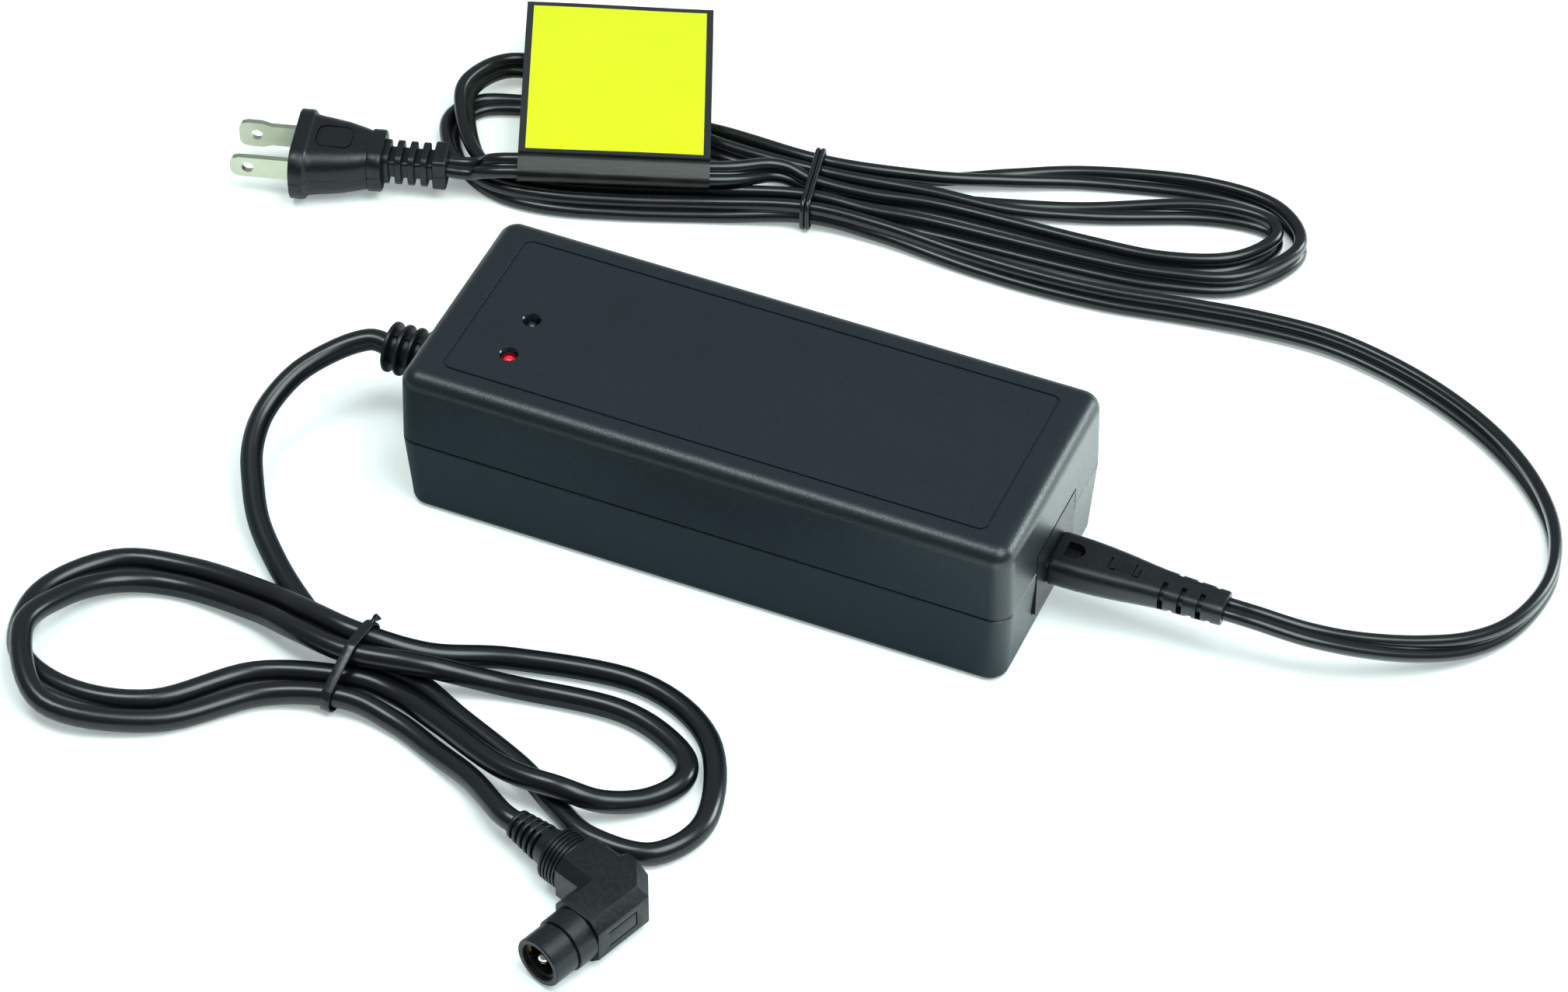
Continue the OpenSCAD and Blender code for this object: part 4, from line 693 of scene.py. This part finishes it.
# Plasticised PVC moulded over the cable: satin, a little mottled where it flowed
moulded_pvc = moulded("moulded_black_pvc", "#090c10", "#10151a", (0.3, 0.46), 0.9, 0.01, shine=0.4)
gland_len, flange_t, web_w, web_t = 16, 2.6, 9.8, 1.8
inner_z = gland_len + wall
to_case = Matrix.Translation(gland_end) @ Matrix.Rotation(math.pi / 2, 4, "Y")
sleeve = [(0, 3.9), (0.4, 4.25), (gland_len - 2.8, 4.6), (gland_len - flange_t, 5.9), (gland_len - 2.3, 6.2),
          (gland_len - 0.5, 6.2), (gland_len - 0.2, 5.9), (gland_len - 0.15, 5), (inner_z + 0.6, 5),
          (inner_z + 0.7, 6.4), (inner_z + 2.6, 6.5), (inner_z + 2.8, 6)]
gland = mesh_object("gland_sleeve", moved(turned(sleeve), scale @ to_case), moulded_pvc)
web = box((-web_w / 2, -web_t / 2, 0), (web_w / 2, web_t / 2, 11.2))
carve(gland, moved(web, scale @ to_case), "UNION")
seat(gland, "charger", "connector_black", "output_gland")
rings = grown("gland_rings", ribs, scale @ to_case @ Matrix.Translation((0, 0, 0.95)), Count=4, Pitch=3.17,
              Across=12.8, Height=12.8, Corner=6.4, Width=2.2, Rim=0.9, Depth=3.4, Edge=0.25, Growth=0.014,
              Finish=moulded_pvc)
seat(rings, "charger", "connector_black")


# ---- Elbow plug ----
# A right-angled plug in moulded PVC: a ribbed relief, a grooved collar, a faceted block and
# a round barrel in two steps. A split pin of nickel-plated brass stands in the bore.
block_w, chamfer, arm_l, block_l = 13.6, 2.6, 14, 13.8
corner_cut, facet_z, past = 6.4, 6.9, 12
at_elbow = Matrix.Translation(elbow_at * MM) @ Matrix.Rotation(elbow_turn, 4, "Z") @ scale
to_lead = Matrix.Rotation(math.pi / 2, 4, "Y")
to_mouth = Matrix.Rotation(math.pi / 2, 4, "X")
aslant = Matrix.Rotation(math.pi / 4, 4, "Z")


def facets(width, chamfer):
    """Outline of a square bar with its four edges cut off, as two coordinates."""
    half, cut = width / 2, width / 2 - chamfer
    return [(-half, -cut), (-cut, -half), (cut, -half), (half, -cut),
            (half, cut), (cut, half), (-cut, half), (-half, cut)]


# The block is one faceted bar along the barrel, joined by one along the lead. Its outer
# corner is cut off and bevelled, and a shallow outline is sunk into its end.
half_w, inner_x = block_w / 2, block_w / 2 - chamfer
bar = loft([[(x, y, z) for x, z in facets(block_w, chamfer)] for y in (half_w, -block_l)])
block = mesh_object("elbow_block", bar, moulded_pvc)
carve(block, loft([[(x, y, z) for y, z in facets(block_w, chamfer)] for x in (-arm_l, inner_x)]), "UNION")
corner_box = box((-corner_cut / 2, -past, -10), (corner_cut / 2, past, 10))
carve(block, moved(corner_box, Matrix.Translation((half_w, half_w, 0)) @ aslant))
corner = block_w / math.sqrt(2) - corner_cut / 2 + inner_x
outer_x = 7.5
bevel_face = ((corner - facet_z, facet_z), (outer_x, facet_z), (outer_x, corner - outer_x))
bevels = [loft([[(x, v, s * z) for x, z in bevel_face] for v in (-past, past)]) for s in (-1, 1)]
carve(block, moved(gather(bevels), aslant))
outline_z, outline_t = 2.1, 0.4
outline = [box((6.4, -10.5, z - outline_t / 2), (7.2, -1.5, z + outline_t / 2))
           for z in (outline_z, -outline_z)]
outline.append(box((6.4, -1.5 - outline_t, -outline_z), (7.2, -1.5, outline_z)))
carve(block, gather(outline))
bevel = block.modifiers.new("edges", "BEVEL")
bevel.width, bevel.segments, bevel.limit_method, bevel.angle_limit = 0.35, 3, "ANGLE", math.radians(25)
bevel.use_clamp_overlap = True
bake(block)
block.data.transform(at_elbow)

# Five fine furrows run round the collar
collar_r, furrow_r, furrow_pitch, furrows = 6.7, 6.25, 1.05, 5
collar = [(-33, 2.8), (-32.8, 2.95), (-23.7, 3.1), (-23.6, 4.5), (-20.3, 5.1), (-20.2, 6.3), (-19.9, 6.65),
          (-19.3, collar_r)]
for k in range(furrows):
    x = -19.2 + furrow_pitch * k
    collar += [(x, collar_r), (x + 0.06, furrow_r), (x + 0.4, furrow_r), (x + 0.46, collar_r)]
collar += [(-14.3, collar_r), (-14, 6.5), (-13, 6.4)]
collar_piece = mesh_object("elbow_collar", moved(turned(collar), at_elbow @ to_lead), moulded_pvc)
relief = grown("elbow_ribs", ribs, at_elbow @ to_lead @ Matrix.Translation((0, 0, -32.48)), Count=5,
               Pitch=1.9, Across=7.4, Height=7.4, Corner=3.7, Width=1.05, Rim=0.95, Depth=2.0, Edge=0.2,
               Growth=0.06, Finish=moulded_pvc)
spine_ends = ((-32.9, 3.45, 0.9), (-23.4, 4.55, 1.2))
spine_rows = [loft([[(s * x, y, z) for x, y in ((2, -w), (out, -w), (out, w), (2, w))]
                    for z, out, w in spine_ends]) for s in (-1, 1)]
spines = mesh_object("elbow_spines", moved(gather(spine_rows), at_elbow @ to_lead), moulded_pvc)
barrel = [(12.8, 6.2), (13.8, 6.6), (14, 6.75), (19.1, 6.75), (19.3, 6.6), (19.36, 5.9), (19.7, 5.9),
          (19.76, 6.25), (26.2, 6.3), (26.5, 6.1), (26.5, 5.1), (26.3, 4.85), (14.5, 4.8)]
barrel_piece = mesh_object("elbow_barrel", moved(turned(barrel), at_elbow @ to_mouth), moulded_pvc)
seat(block, "charger", "connector_black", "elbow_body")
for piece in (collar_piece, relief, spines, barrel_piece):
    seat(piece, "charger", "connector_black")
# Moulded phenolic: matt and nearly black. Bare brass strip: warm, bright and clouded.
dress(moulded("phenolic_liner", "#0c0d0f", "#131517", (0.4, 0.55), 0.6, 0.006), "barrel_liner")
contact_brass = moulded("bare_brass_strip", "#b98a45", "#cfa35a", (0.18, 0.32), 1.2, 0.002, ior=1.5,
                        metal=1.0)
dress(contact_brass, "side_contacts", "connector_contacts")


# ---- Mains connector ----
# A two-hole connector moulded on the flat cord: a nose in the inlet, a tapering grip with
# thumb marks, and a relief whose slots open at opposite corners in turn.
slots = tree_of("row_of_slots", {"Count": (whole, 3), "Pitch": (real, 4.0), "Length": (real, 6.0),
                                 "Width": (real, 1.4), "Depth": (real, 3.0),
                                 "Finish": ("NodeSocketMaterial", None)})
given = add(slots, "NodeGroupInput").outputs
extent = add(slots, "ShaderNodeCombineXYZ",
             links={"X": given["Width"], "Y": given["Length"], "Z": given["Depth"]})
bar = add(slots, "GeometryNodeMeshCube", links={"Size": extent.outputs[0]})
step = add(slots, "ShaderNodeCombineXYZ", links={"X": given["Pitch"]})
line = add(slots, "GeometryNodeMeshLine", links={"Count": given["Count"], "Offset": step.outputs[0]})
row = add(slots, "GeometryNodeInstanceOnPoints",
          links={"Points": line.outputs[0], "Instance": bar.outputs[0]})
solid = add(slots, "GeometryNodeRealizeInstances", links={"Geometry": row.outputs[0]})
coated = add(slots, "GeometryNodeSetMaterial",
             links={"Geometry": solid.outputs[0], "Material": given["Finish"]})
add(slots, "NodeGroupOutput", links={0: coated.outputs[0]})


def slot_cutter(place, **sizes):
    """A row of slots as a bmesh, to cut with."""
    piece = grown("slots", slots, place, Finish=moulded_pvc, **sizes)
    bm = bmesh.new()
    bm.from_mesh(piece.data)
    bpy.data.objects.remove(piece)
    return bm


def along_x(stations, ridge=0.0):
    """Rings along X from rows of x, width, height and corner radius."""
    return [[(x, y, z) for y, z in rounded(width, height, radius, ridge=ridge)]
            for x, width, height, radius in stations]


socket_z, grip_x, relief_x, cord_x, slot_pitch, slot_wide = 15.8, 79.3, 106.3, 122.3, 4.7, 1.3
grip = [(grip_x, 13, 7, 2.9), (grip_x + 0.15, 13.6, 7.6, 2.9), (grip_x + 0.5, 13.95, 7.95, 2.9),
        (grip_x + 1.2, 14, 8, 3), (grip_x + 7, 13.9, 7.95, 3), (grip_x + 12, 13.3, 7.8, 3),
        (grip_x + 17.5, 12.2, 7.5, 2.9), (grip_x + 23.5, 10.7, 6.9, 2.7), (relief_x, 10, 6.6, 2.6),
        (cord_x - 0.5, 8.9, 5.85, 2.3), (cord_x - 0.15, 8.6, 5.6, 2.2), (cord_x, 8, 5, 2)]
body = mesh_object("connector_grip", loft(along_x(grip)), moulded_pvc)
# The relief's slots are cut from one corner and, half a pitch on, from the next. Each has
# its like at the opposite corner, half a turn round the cord.
rows = []
for a in (0, math.pi):
    over = Matrix.Rotation(a, 4, "X")
    for place, length, depth in (((relief_x + 0.95, -4.4, 3.4), 8, 10), ((relief_x + 3.3, 5.9, 4.2), 6, 6)):
        rows.append(slot_cutter(over @ Matrix.Translation(place), Count=3, Pitch=slot_pitch, Length=length,
                                Width=slot_wide, Depth=depth))
carve(body, gather(rows))
carve(body, loft(along_x([(relief_x - 2, 6.9, 4.1, 1.9), (cord_x - 1, 6.6, 3.9, 1.8)])), "UNION")

# Thumb marks: two sunk lines with a side stroke, and between them a round-ended recess
grip_top, mark_y, mark_low, rear_low = 3.9, -2.2, 3.35, 3.1
mark = [box((grip_x + x0, mark_y, low), (grip_x + x1, y1, 6)) for x0, x1, y1, low in
        ((13.4, 13.9, 1.6, mark_low), (13.4, 15.4, -1.8, mark_low), (19.6, 20, 2, rear_low),
         (19.6, 21.3, -1.8, rear_low), (21, 21.4, 0.6, rear_low))]
dee_x, dee_flat, dee_r = 4.6, 2.4, 2.5
dee = [(dee_flat, -dee_r)] + [(dee_x + dee_r * math.cos(a), dee_r * math.sin(a))
                              for a in (math.pi / 12 * k for k in range(-6, 7))] + [(dee_flat, dee_r)]
carve(body, gather(mark + [loft([[(grip_x + x, y, z) for x, y in dee] for z in (grip_top - 2.2, 6)])]))
nose_rows = [(65.9, 14.2, 5.6, 2.6), (66.2, 14.6, 6, 2.9), (grip_x + 0.1, 14.6, 6, 2.9)]
nose = mesh_object("connector_nose", loft(along_x(nose_rows)), moulded_pvc)
pin_y, bore = 4.3, [(65.5, 1.55), (76.5, 1.5)]
for s in (-1, 1):
    carve(nose, moved(turned(bore), Matrix.Translation((0, s * pin_y, 0)) @ to_lead))
thumb = grown("connector_ribs", slots, Matrix.Translation((grip_x + 15.2, 0, grip_top - 0.1)), Count=5,
              Pitch=0.9, Length=3.6, Width=0.28, Depth=0.5, Finish=moulded_pvc)
at_inlet = scale @ Matrix.Translation((0, 0, socket_z))
for piece, nodes in ((body, ["connector_body"]), (nose, []), (thumb, [])):
    piece.data.transform(at_inlet)
    seat(piece, "cordset", "connector_black", *nodes)


# ---- Mains plug ----
# A two-blade plug moulded on the other end of the cord, with a flange to pull on, a bare
# panel on top, a mould line round its middle, and a square relief with deep slots.
blade_gap, slot_t, slot_w, mould_line = 12.7, 1.52, 6.4, 0.16
at_plug = Matrix.Translation(plug_at * MM) @ Matrix.Rotation(plug_turn, 4, "Z") @ scale
plug_body = [(0, 24.2, 14.8, 5.6), (0.15, 24.8, 15.4, 5.9), (0.5, 25, 15.6, 6), (3.2, 25, 15.6, 6),
             (3.7, 24.7, 15.3, 5.9), (4, 24, 14.8, 5.8), (4.2, 23, 14.4, 5.5), (4.8, 22, 14.1, 5.2),
             (6, 21.3, 13.9, 5), (9, 20.4, 13.7, 5), (13.3, 18.6, 13.3, 4.8), (17, 16, 12.7, 4.4),
             (19.2, 14.2, 12.2, 4), (19.4, 14.1, 12.2, 4), (19.6, 14.7, 12.5, 4), (19.9, 15, 12.6, 4),
             (22.6, 15, 12.6, 4), (22.95, 14.7, 12.3, 3.9), (23.1, 14.2, 11.8, 3.7)]
plug = mesh_object("plug_body", loft(along_x(plug_body, ridge=mould_line)), moulded_pvc)
panel_x = 10.4
panel = [loft([[(x + panel_x, y, z) for x, y in rounded(*size)] for z in (z0, z1)])
         for size, z0, z1 in (((9.6, 8.2, 2.4), 6.3, 9), ((8.9, 7.5, 2.1), 5, 6.75))]
carve(plug, panel[0])
carve(plug, panel[1], "UNION")
for s in (-1, 1):
    y = s * blade_gap / 2
    carve(plug, box((-1, y - slot_t / 2, -slot_w / 2), (5.9, y + slot_t / 2, slot_w / 2)))
core_rows = [(22.5, 7.2, 5.2, 1), (38, 7.2, 5.2, 1)]
end_rows = [(36.1, 8.8, 8.8, 1), (36.35, 9.4, 9.4, 1.2), (39.2, 9.4, 9.4, 1.2), (39.5, 8.9, 8.9, 1)]
relief_parts = [loft(along_x(core_rows)), loft(along_x(end_rows, ridge=0.14))]
heart = mesh_object("plug_relief", gather(relief_parts), moulded_pvc)
teeth = grown("plug_ribs", ribs, to_lead @ Matrix.Translation((0, 0, 23.8)), Count=4, Pitch=3.35, Across=9.4,
              Height=9.4, Corner=1.0, Width=1.75, Rim=1.7, Depth=2.6, Edge=0.25, Finish=moulded_pvc)
for piece, nodes in ((plug, ["mains_plug"]), (heart, []), (teeth, [])):
    piece.data.transform(at_plug)
    seat(piece, "cordset", "plug_black", *nodes)

# Nickel-plated brass strip: satin, slightly yellow, with fine lines rolled along the blades
blade_nickel, tree = material("satin_nickel_strip")
place = add(tree, "ShaderNodeTexCoord").outputs["Object"]
drawn = add(tree, "ShaderNodeMapping", {"Rotation": (0, 0, -plug_turn), "Scale": (60, 2500, 2500)},
            {"Vector": place})
lines = add(tree, "ShaderNodeTexNoise", {"Scale": 1.0, "Detail": 3.0}, {"Vector": drawn.outputs[0]})
cloud = add(tree, "ShaderNodeTexNoise", {"Scale": 160.0, "Detail": 4.0}, {"Vector": place})
gloss = add(tree, "ShaderNodeMapRange", {"To Min": 0.24, "To Max": 0.42}, {"Value": lines.outputs["Fac"]})
rolled = add(tree, "ShaderNodeBump", {"Strength": 0.3, "Distance": 0.02 * MM},
             {"Height": lines.outputs["Fac"]})
two_tone(tree, "#c2c6ae", "#dfe4cf", cloud.outputs["Fac"], {"Metallic": 1.0},
         {"Roughness": gloss.outputs[0], "Normal": rolled.outputs[0]})
dress(blade_nickel, "plug_blades")


# ---- Ties ----
# The low-voltage hank has a flat strap of black polyethylene, pulled tight and twisted off
# at the back. The mains hank has two turns of round plastic-covered wire.
def plane_axes(turn):
    """The normal of an upright plane, and the level direction across it."""
    return Vector((math.cos(turn), math.sin(turn), 0)), Vector((-math.sin(turn), math.cos(turn), 0))


def crossings(path, place, turn, reach=20):
    """Where a path goes through an upright plane: the place across it, the height and the roll."""
    n, across = plane_axes(turn)
    found = []
    for p, q in zip(path, path[1:]):
        a, b = (Vector(p[:3]) - place) @ n, (Vector(q[:3]) - place) @ n
        if a * b < 0 and abs((Vector(p[:3]) - place) @ across) < reach:
            f = a / (a - b)
            spot = Vector(p[:3]).lerp(Vector(q[:3]), f) - place
            found.append((spot @ across, spot.z, p[3] + (q[3] - p[3]) * f))
    return found


def band(name, discs, place, turn, section, coat):
    """A band pulled tight round discs in an upright plane, with a section of across and out."""
    points = [(x + u, z + v) for x, z, r in discs for u, v in circle(r, 48)]
    hull = [Vector(points[k]) for k in convex_hull_2d([Vector(p) for p in points])]
    loop = []
    for k, p in enumerate(hull):
        out = (hull[(k + 1) % len(hull)] - hull[k - 1]).normalized()
        out = Vector((out.y, -out.x))
        loop.append((p, out))
    middle = sum((p for p, _ in loop), Vector((0, 0))) / len(loop)
    if (loop[0][0] - middle) @ loop[0][1] < 0:
        loop = [(p, -out) for p, out in loop]
    n, across = plane_axes(turn)
    rings = [[(place + n * a + across * (p.x + out.x * b) + UP * (p.y + out.y * b)) * MM for a, b in section]
             for p, out in loop]
    return mesh_object(name, loft(rings, closed=True), coat)


# Polyethylene: glossy, softly dented where it was pulled
tie_plastic = moulded("glossy_black_polyethylene", "#101214", "#191c1f", (0.16, 0.3), 1.4, 0.01, ior=1.51)
strap_w, strap_t, strap_gap = 2.6, 0.7, 0.45
dc_tie_at, dc_tie_turn = Vector((-62.9, -90.5, 0)), math.radians(-5)
strands = crossings(dc_path, dc_tie_at, dc_tie_turn)
strap = band("hank_strap", [(x, z, dc_d / 2 + strap_gap) for x, z, _ in strands], dc_tie_at, dc_tie_turn,
             [(a, b + strap_t / 2) for a, b in rounded(strap_w, strap_t, 0.28, 3)], tie_plastic)
high = max(strands, key=lambda q: q[0] + q[1])
tail_place = Matrix.Translation(dc_tie_at * MM) @ Matrix.Rotation(dc_tie_turn, 4, "Z") @ scale
tail_reach, tail_drop, tail_wave, tail_turn, tail_steps = 4.4, 1.2, 0.5, 2.4, 10
tail_rings = []
for k in range(tail_steps + 1):
    f = k / tail_steps
    y = high[0] + 0.8 + tail_reach * f
    z = high[1] + 3.1 - tail_drop * f + tail_wave * math.sin(3 * f)
    c, s = math.cos(tail_turn * f), math.sin(tail_turn * f)
    tail_rings.append([(a * c - b * s, y, z + a * s + b * c) for a, b in rounded(1.9, 0.9, 0.3, 3)])
strap_end = mesh_object("hank_strap_end", moved(loft(tail_rings), tail_place), tie_plastic)
seat(strap, "charger", "tie", "dc_tie")
seat(strap_end, "charger", "tie")

ac_tie_at, ac_tie_turn, wire_r, tie_gap = Vector((-30, 110.2, 0)), math.radians(12), 0.65, 0.35
cores = []
for x, z, rolled_by in crossings(ac_path, ac_tie_at, ac_tie_turn):
    c, s = math.cos(math.radians(rolled_by)), math.sin(math.radians(rolled_by))
    for off in (-(ac_w - ac_t) / 2, (ac_w - ac_t) / 2):
        cores.append((x + off * c, z + off * s, ac_t / 2 + tie_gap))
bands = [band("cord_tie_" + side, cores, ac_tie_at, ac_tie_turn,
              [(a + shift, b + wire_r) for a, b in circle(wire_r, 12)], tie_plastic)
         for side, shift in (("a", -wire_r), ("b", wire_r))]
seat(bands[0], "cordset", "tie", "ac_tie")
seat(bands[1], "cordset", "tie")


# ---- Tag ----
# A sheet of yellow plastic film with a printed black edge. Its foot wraps the cord as a
# sleeve under clear tape, and the sheet falls gently from there. Its face is left bare.
sleeve_run = Vector(sleeve_b) - Vector(sleeve_a)
tag_l, tag_reach, tag_t, print_w, foot_w = min(49.6, sleeve_run.length - 0.2), 64, 0.5, 1.8, 1.2
at_sleeve = (Matrix.Translation(Vector(sleeve_a) * MM)
             @ Matrix.Rotation(math.atan2(sleeve_run.y, sleeve_run.x), 4, "Z")
             @ Matrix.Rotation(-math.asin(sleeve_run.z / sleeve_run.length), 4, "Y") @ scale)

# Polyester film, printed: bright yellow with a soft gloss, black along its four edges
tag_film, tree = material("printed_yellow_film")
face = add(tree, "ShaderNodeUVMap", uv_map="face")
apart = add(tree, "ShaderNodeSeparateXYZ", links={0: face.outputs[0]})
edges = [add(tree, "ShaderNodeMath", {1: limit}, {0: apart.outputs[axis]}, operation=kind).outputs[0]
         for axis, limit, kind in (("X", print_w, "LESS_THAN"), ("X", tag_l - print_w, "GREATER_THAN"),
                                   ("Y", tag_reach - print_w, "GREATER_THAN"), ("Y", foot_w, "LESS_THAN"))]
border = edges[0]
for edge in edges[1:]:
    border = add(tree, "ShaderNodeMath", links={0: border, 1: edge}, operation="MAXIMUM").outputs[0]
place = add(tree, "ShaderNodeTexCoord").outputs["Object"]
ink = add(tree, "ShaderNodeTexNoise", {"Scale": 90.0, "Detail": 3.0}, {"Vector": place})
yellow = add(tree, "ShaderNodeMix", {6: linear("#d6e012"), 7: linear("#e2ec1c")}, {0: ink.outputs["Fac"]},
             data_type="RGBA")
printed = add(tree, "ShaderNodeMix", {7: linear("#23272b")}, {0: border, 6: yellow.outputs[2]},
              data_type="RGBA")
waves = add(tree, "ShaderNodeBump", {"Strength": 0.5, "Distance": 0.2 * MM}, {"Height": ink.outputs["Fac"]})
skin = add(tree, "ShaderNodeBsdfPrincipled", {"IOR": 1.49, "Roughness": 0.34},
           {"Base Color": printed.outputs[2], "Normal": waves.outputs[0]})
add(tree, "ShaderNodeOutputMaterial", links={"Surface": skin.outputs[0]})

fold_r, fall, ripple = 1.7, 4, 0.12
fold_y = fold_r * math.cos(math.radians(sleeve_roll))
fold_z = fold_r * math.sin(math.radians(sleeve_roll)) + ac_t / 2 + 0.85
wide, deep = 20, 40


def film_point(i, j, side):
    """A point of the sheet's under face, or of its upper face if side is 1."""
    sag = fall * (j / deep) ** 1.8
    wave = ripple * math.sin(5 * i / wide + 4 * j / deep)
    return (0.1 + tag_l * i / wide, -fold_y - tag_reach * j / deep, fold_z + side * tag_t - sag + wave)


bm = bmesh.new()
uv = bm.loops.layers.uv.new("face")
under, over = ([[bm.verts.new(film_point(i, j, side)) for j in range(deep + 1)] for i in range(wide + 1)]
               for side in (0, 1))
for grid in (under, over):
    for i in range(wide):
        for j in range(deep):
            cell = [(i, j), (i + 1, j), (i + 1, j + 1), (i, j + 1)]
            cell = cell if grid is over else cell[::-1]
            made = bm.faces.new([grid[a][b] for a, b in cell])
            for loop, (a, b) in zip(made.loops, cell):
                loop[uv].uv = (tag_l * a / wide, tag_reach * b / deep)
rim = [(i, 0) for i in range(wide)] + [(wide, j) for j in range(deep)]
rim += [(i, deep) for i in range(wide, 0, -1)] + [(0, j) for j in range(deep, 0, -1)]
for (a, b), (c, d) in zip(rim, rim[1:] + rim[:1]):
    made = bm.faces.new((under[a][b], under[c][d], over[c][d], over[a][b]))
    for loop in made.loops:
        loop[uv].uv = (0, 0)
tag_sheet = mesh_object("tag_sheet", moved(bm, at_sleeve), tag_film)
seat(tag_sheet, "cordset", "tag_yellow", "tag")

# Black film under clear polyester tape: satin, turning brown where a stretched noise runs high
tape, tree = material("taped_black_film")
run = add(tree, "ShaderNodeUVMap", uv_map="run")
wrinkle = add(tree, "ShaderNodeMapping", {"Scale": (0.12, 1.3, 1)}, {"Vector": run.outputs[0]})
creases = add(tree, "ShaderNodeTexNoise", {"Scale": 1.0, "Detail": 3.0}, {"Vector": wrinkle.outputs[0]})
brown_band = add(tree, "ShaderNodeMapRange", {"From Min": 0.45, "From Max": 0.7}, {"Value": creases.outputs["Fac"]})
dents = add(tree, "ShaderNodeBump", {"Strength": 0.2, "Distance": 0.2 * MM},
            {"Height": creases.outputs["Fac"]})
two_tone(tree, "#0b0d0e", "#201f16", brown_band.outputs[0],
         {"IOR": 1.57, "Roughness": 0.3, "Specular IOR Level": 0.3}, {"Normal": dents.outputs[0]})
wrap_gap, rings_along = 0.65, 24
loop_w, loop_t = ac_w + 2 * wrap_gap, ac_t + 2 * wrap_gap
c, s = math.cos(math.radians(-sleeve_roll)), math.sin(math.radians(-sleeve_roll))
around = [(x * c - z * s, x * s + z * c) for x, z in rounded(loop_w, loop_t, loop_t / 2 - 0.01, 9)]
wrap = loft([[(0.1 + tag_l * k / rings_along, y, z) for y, z in around] for k in range(rings_along + 1)])
sleeve_skin = mesh_object("tag_sleeve_tape", moved(wrap, at_sleeve), tape)
seat(sleeve_skin, "cordset", "tag_tape", "tag_sleeve")


# ---- Electronics inside the case ----
# A paper-laminate board with a ferrite transformer, a choke, capacitors, a fuse, and two
# power devices screwed to aluminium plates. All of them are as they leave their makers.
# The laminate is matt brown, the ferrite dull grey, and the box moulded satin yellow. Tape,
# shrunk sleeve and dipped epoxy are glossy, and the power devices' filled epoxy is matt.
dress(moulded("paper_laminate", "#8c6a34", "#a27c40", (0.4, 0.55), 0.5, 0.01), "circuit_board", "lamp_board")
dress(moulded("ground_ferrite", "#2b2b2d", "#3c3c3f", (0.35, 0.6), 0.25, 0.02, ior=1.8), "transformer_core")
dress(moulded("yellow_polyester_tape", "#caa41e", "#dcb52a", (0.18, 0.3), 3.0, 0.02, ior=1.6),
      "transformer_winding")
dress(moulded("green_epoxy_coating", "#245f38", "#2f7345", (0.22, 0.36), 0.9, 0.03), "line_choke")
dress(moulded("yellow_polypropylene_box", "#b98c1c", "#c99a26", (0.25, 0.4), 1.1, 0.01), "line_capacitor")
dress(moulded("blue_shrink_sleeve", "#16233a", "#1e2f4c", (0.14, 0.26), 4.0, 0.02),
      "bulk_capacitor", "output_capacitors")
dress(moulded("black_filled_epoxy", "#141517", "#1c1e20", (0.45, 0.6), 0.3, 0.01),
      "power_transistor", "output_rectifier")

# Clear soda glass with nickel-plated end caps, seen as one pale tube
glass, tree = material("soda_glass_tube")
place = add(tree, "ShaderNodeTexCoord").outputs["Object"]
streak = add(tree, "ShaderNodeTexNoise", {"Scale": 400.0}, {"Vector": place})
gloss = add(tree, "ShaderNodeMapRange", {"To Min": 0.02, "To Max": 0.1}, {"Value": streak.outputs["Fac"]})
skin = add(tree, "ShaderNodeBsdfPrincipled",
           {"Base Color": linear("#dfe8e6"), "IOR": 1.52, "Transmission Weight": 0.6},
           {"Roughness": gloss.outputs[0]})
add(tree, "ShaderNodeOutputMaterial", links={"Surface": skin.outputs[0]})
dress(glass, "fuse")

# Mill-finish aluminium: lines from rolling, 0.4 mm apart, run along the plates
sink, tree = material("mill_finish_aluminium")
place = add(tree, "ShaderNodeTexCoord").outputs["Object"]
drawn = add(tree, "ShaderNodeMapping", {"Scale": (40, 2500, 2500)}, {"Vector": place})
lines = add(tree, "ShaderNodeTexNoise", {"Scale": 1.0, "Detail": 3.0}, {"Vector": drawn.outputs[0]})
gloss = add(tree, "ShaderNodeMapRange", {"To Min": 0.28, "To Max": 0.46}, {"Value": lines.outputs["Fac"]})
two_tone(tree, "#b4b6b8", "#cdd0d2", lines.outputs["Fac"], {"Metallic": 1.0}, {"Roughness": gloss.outputs[0]})
dress(sink, "mains_heatsink", "output_heatsink")
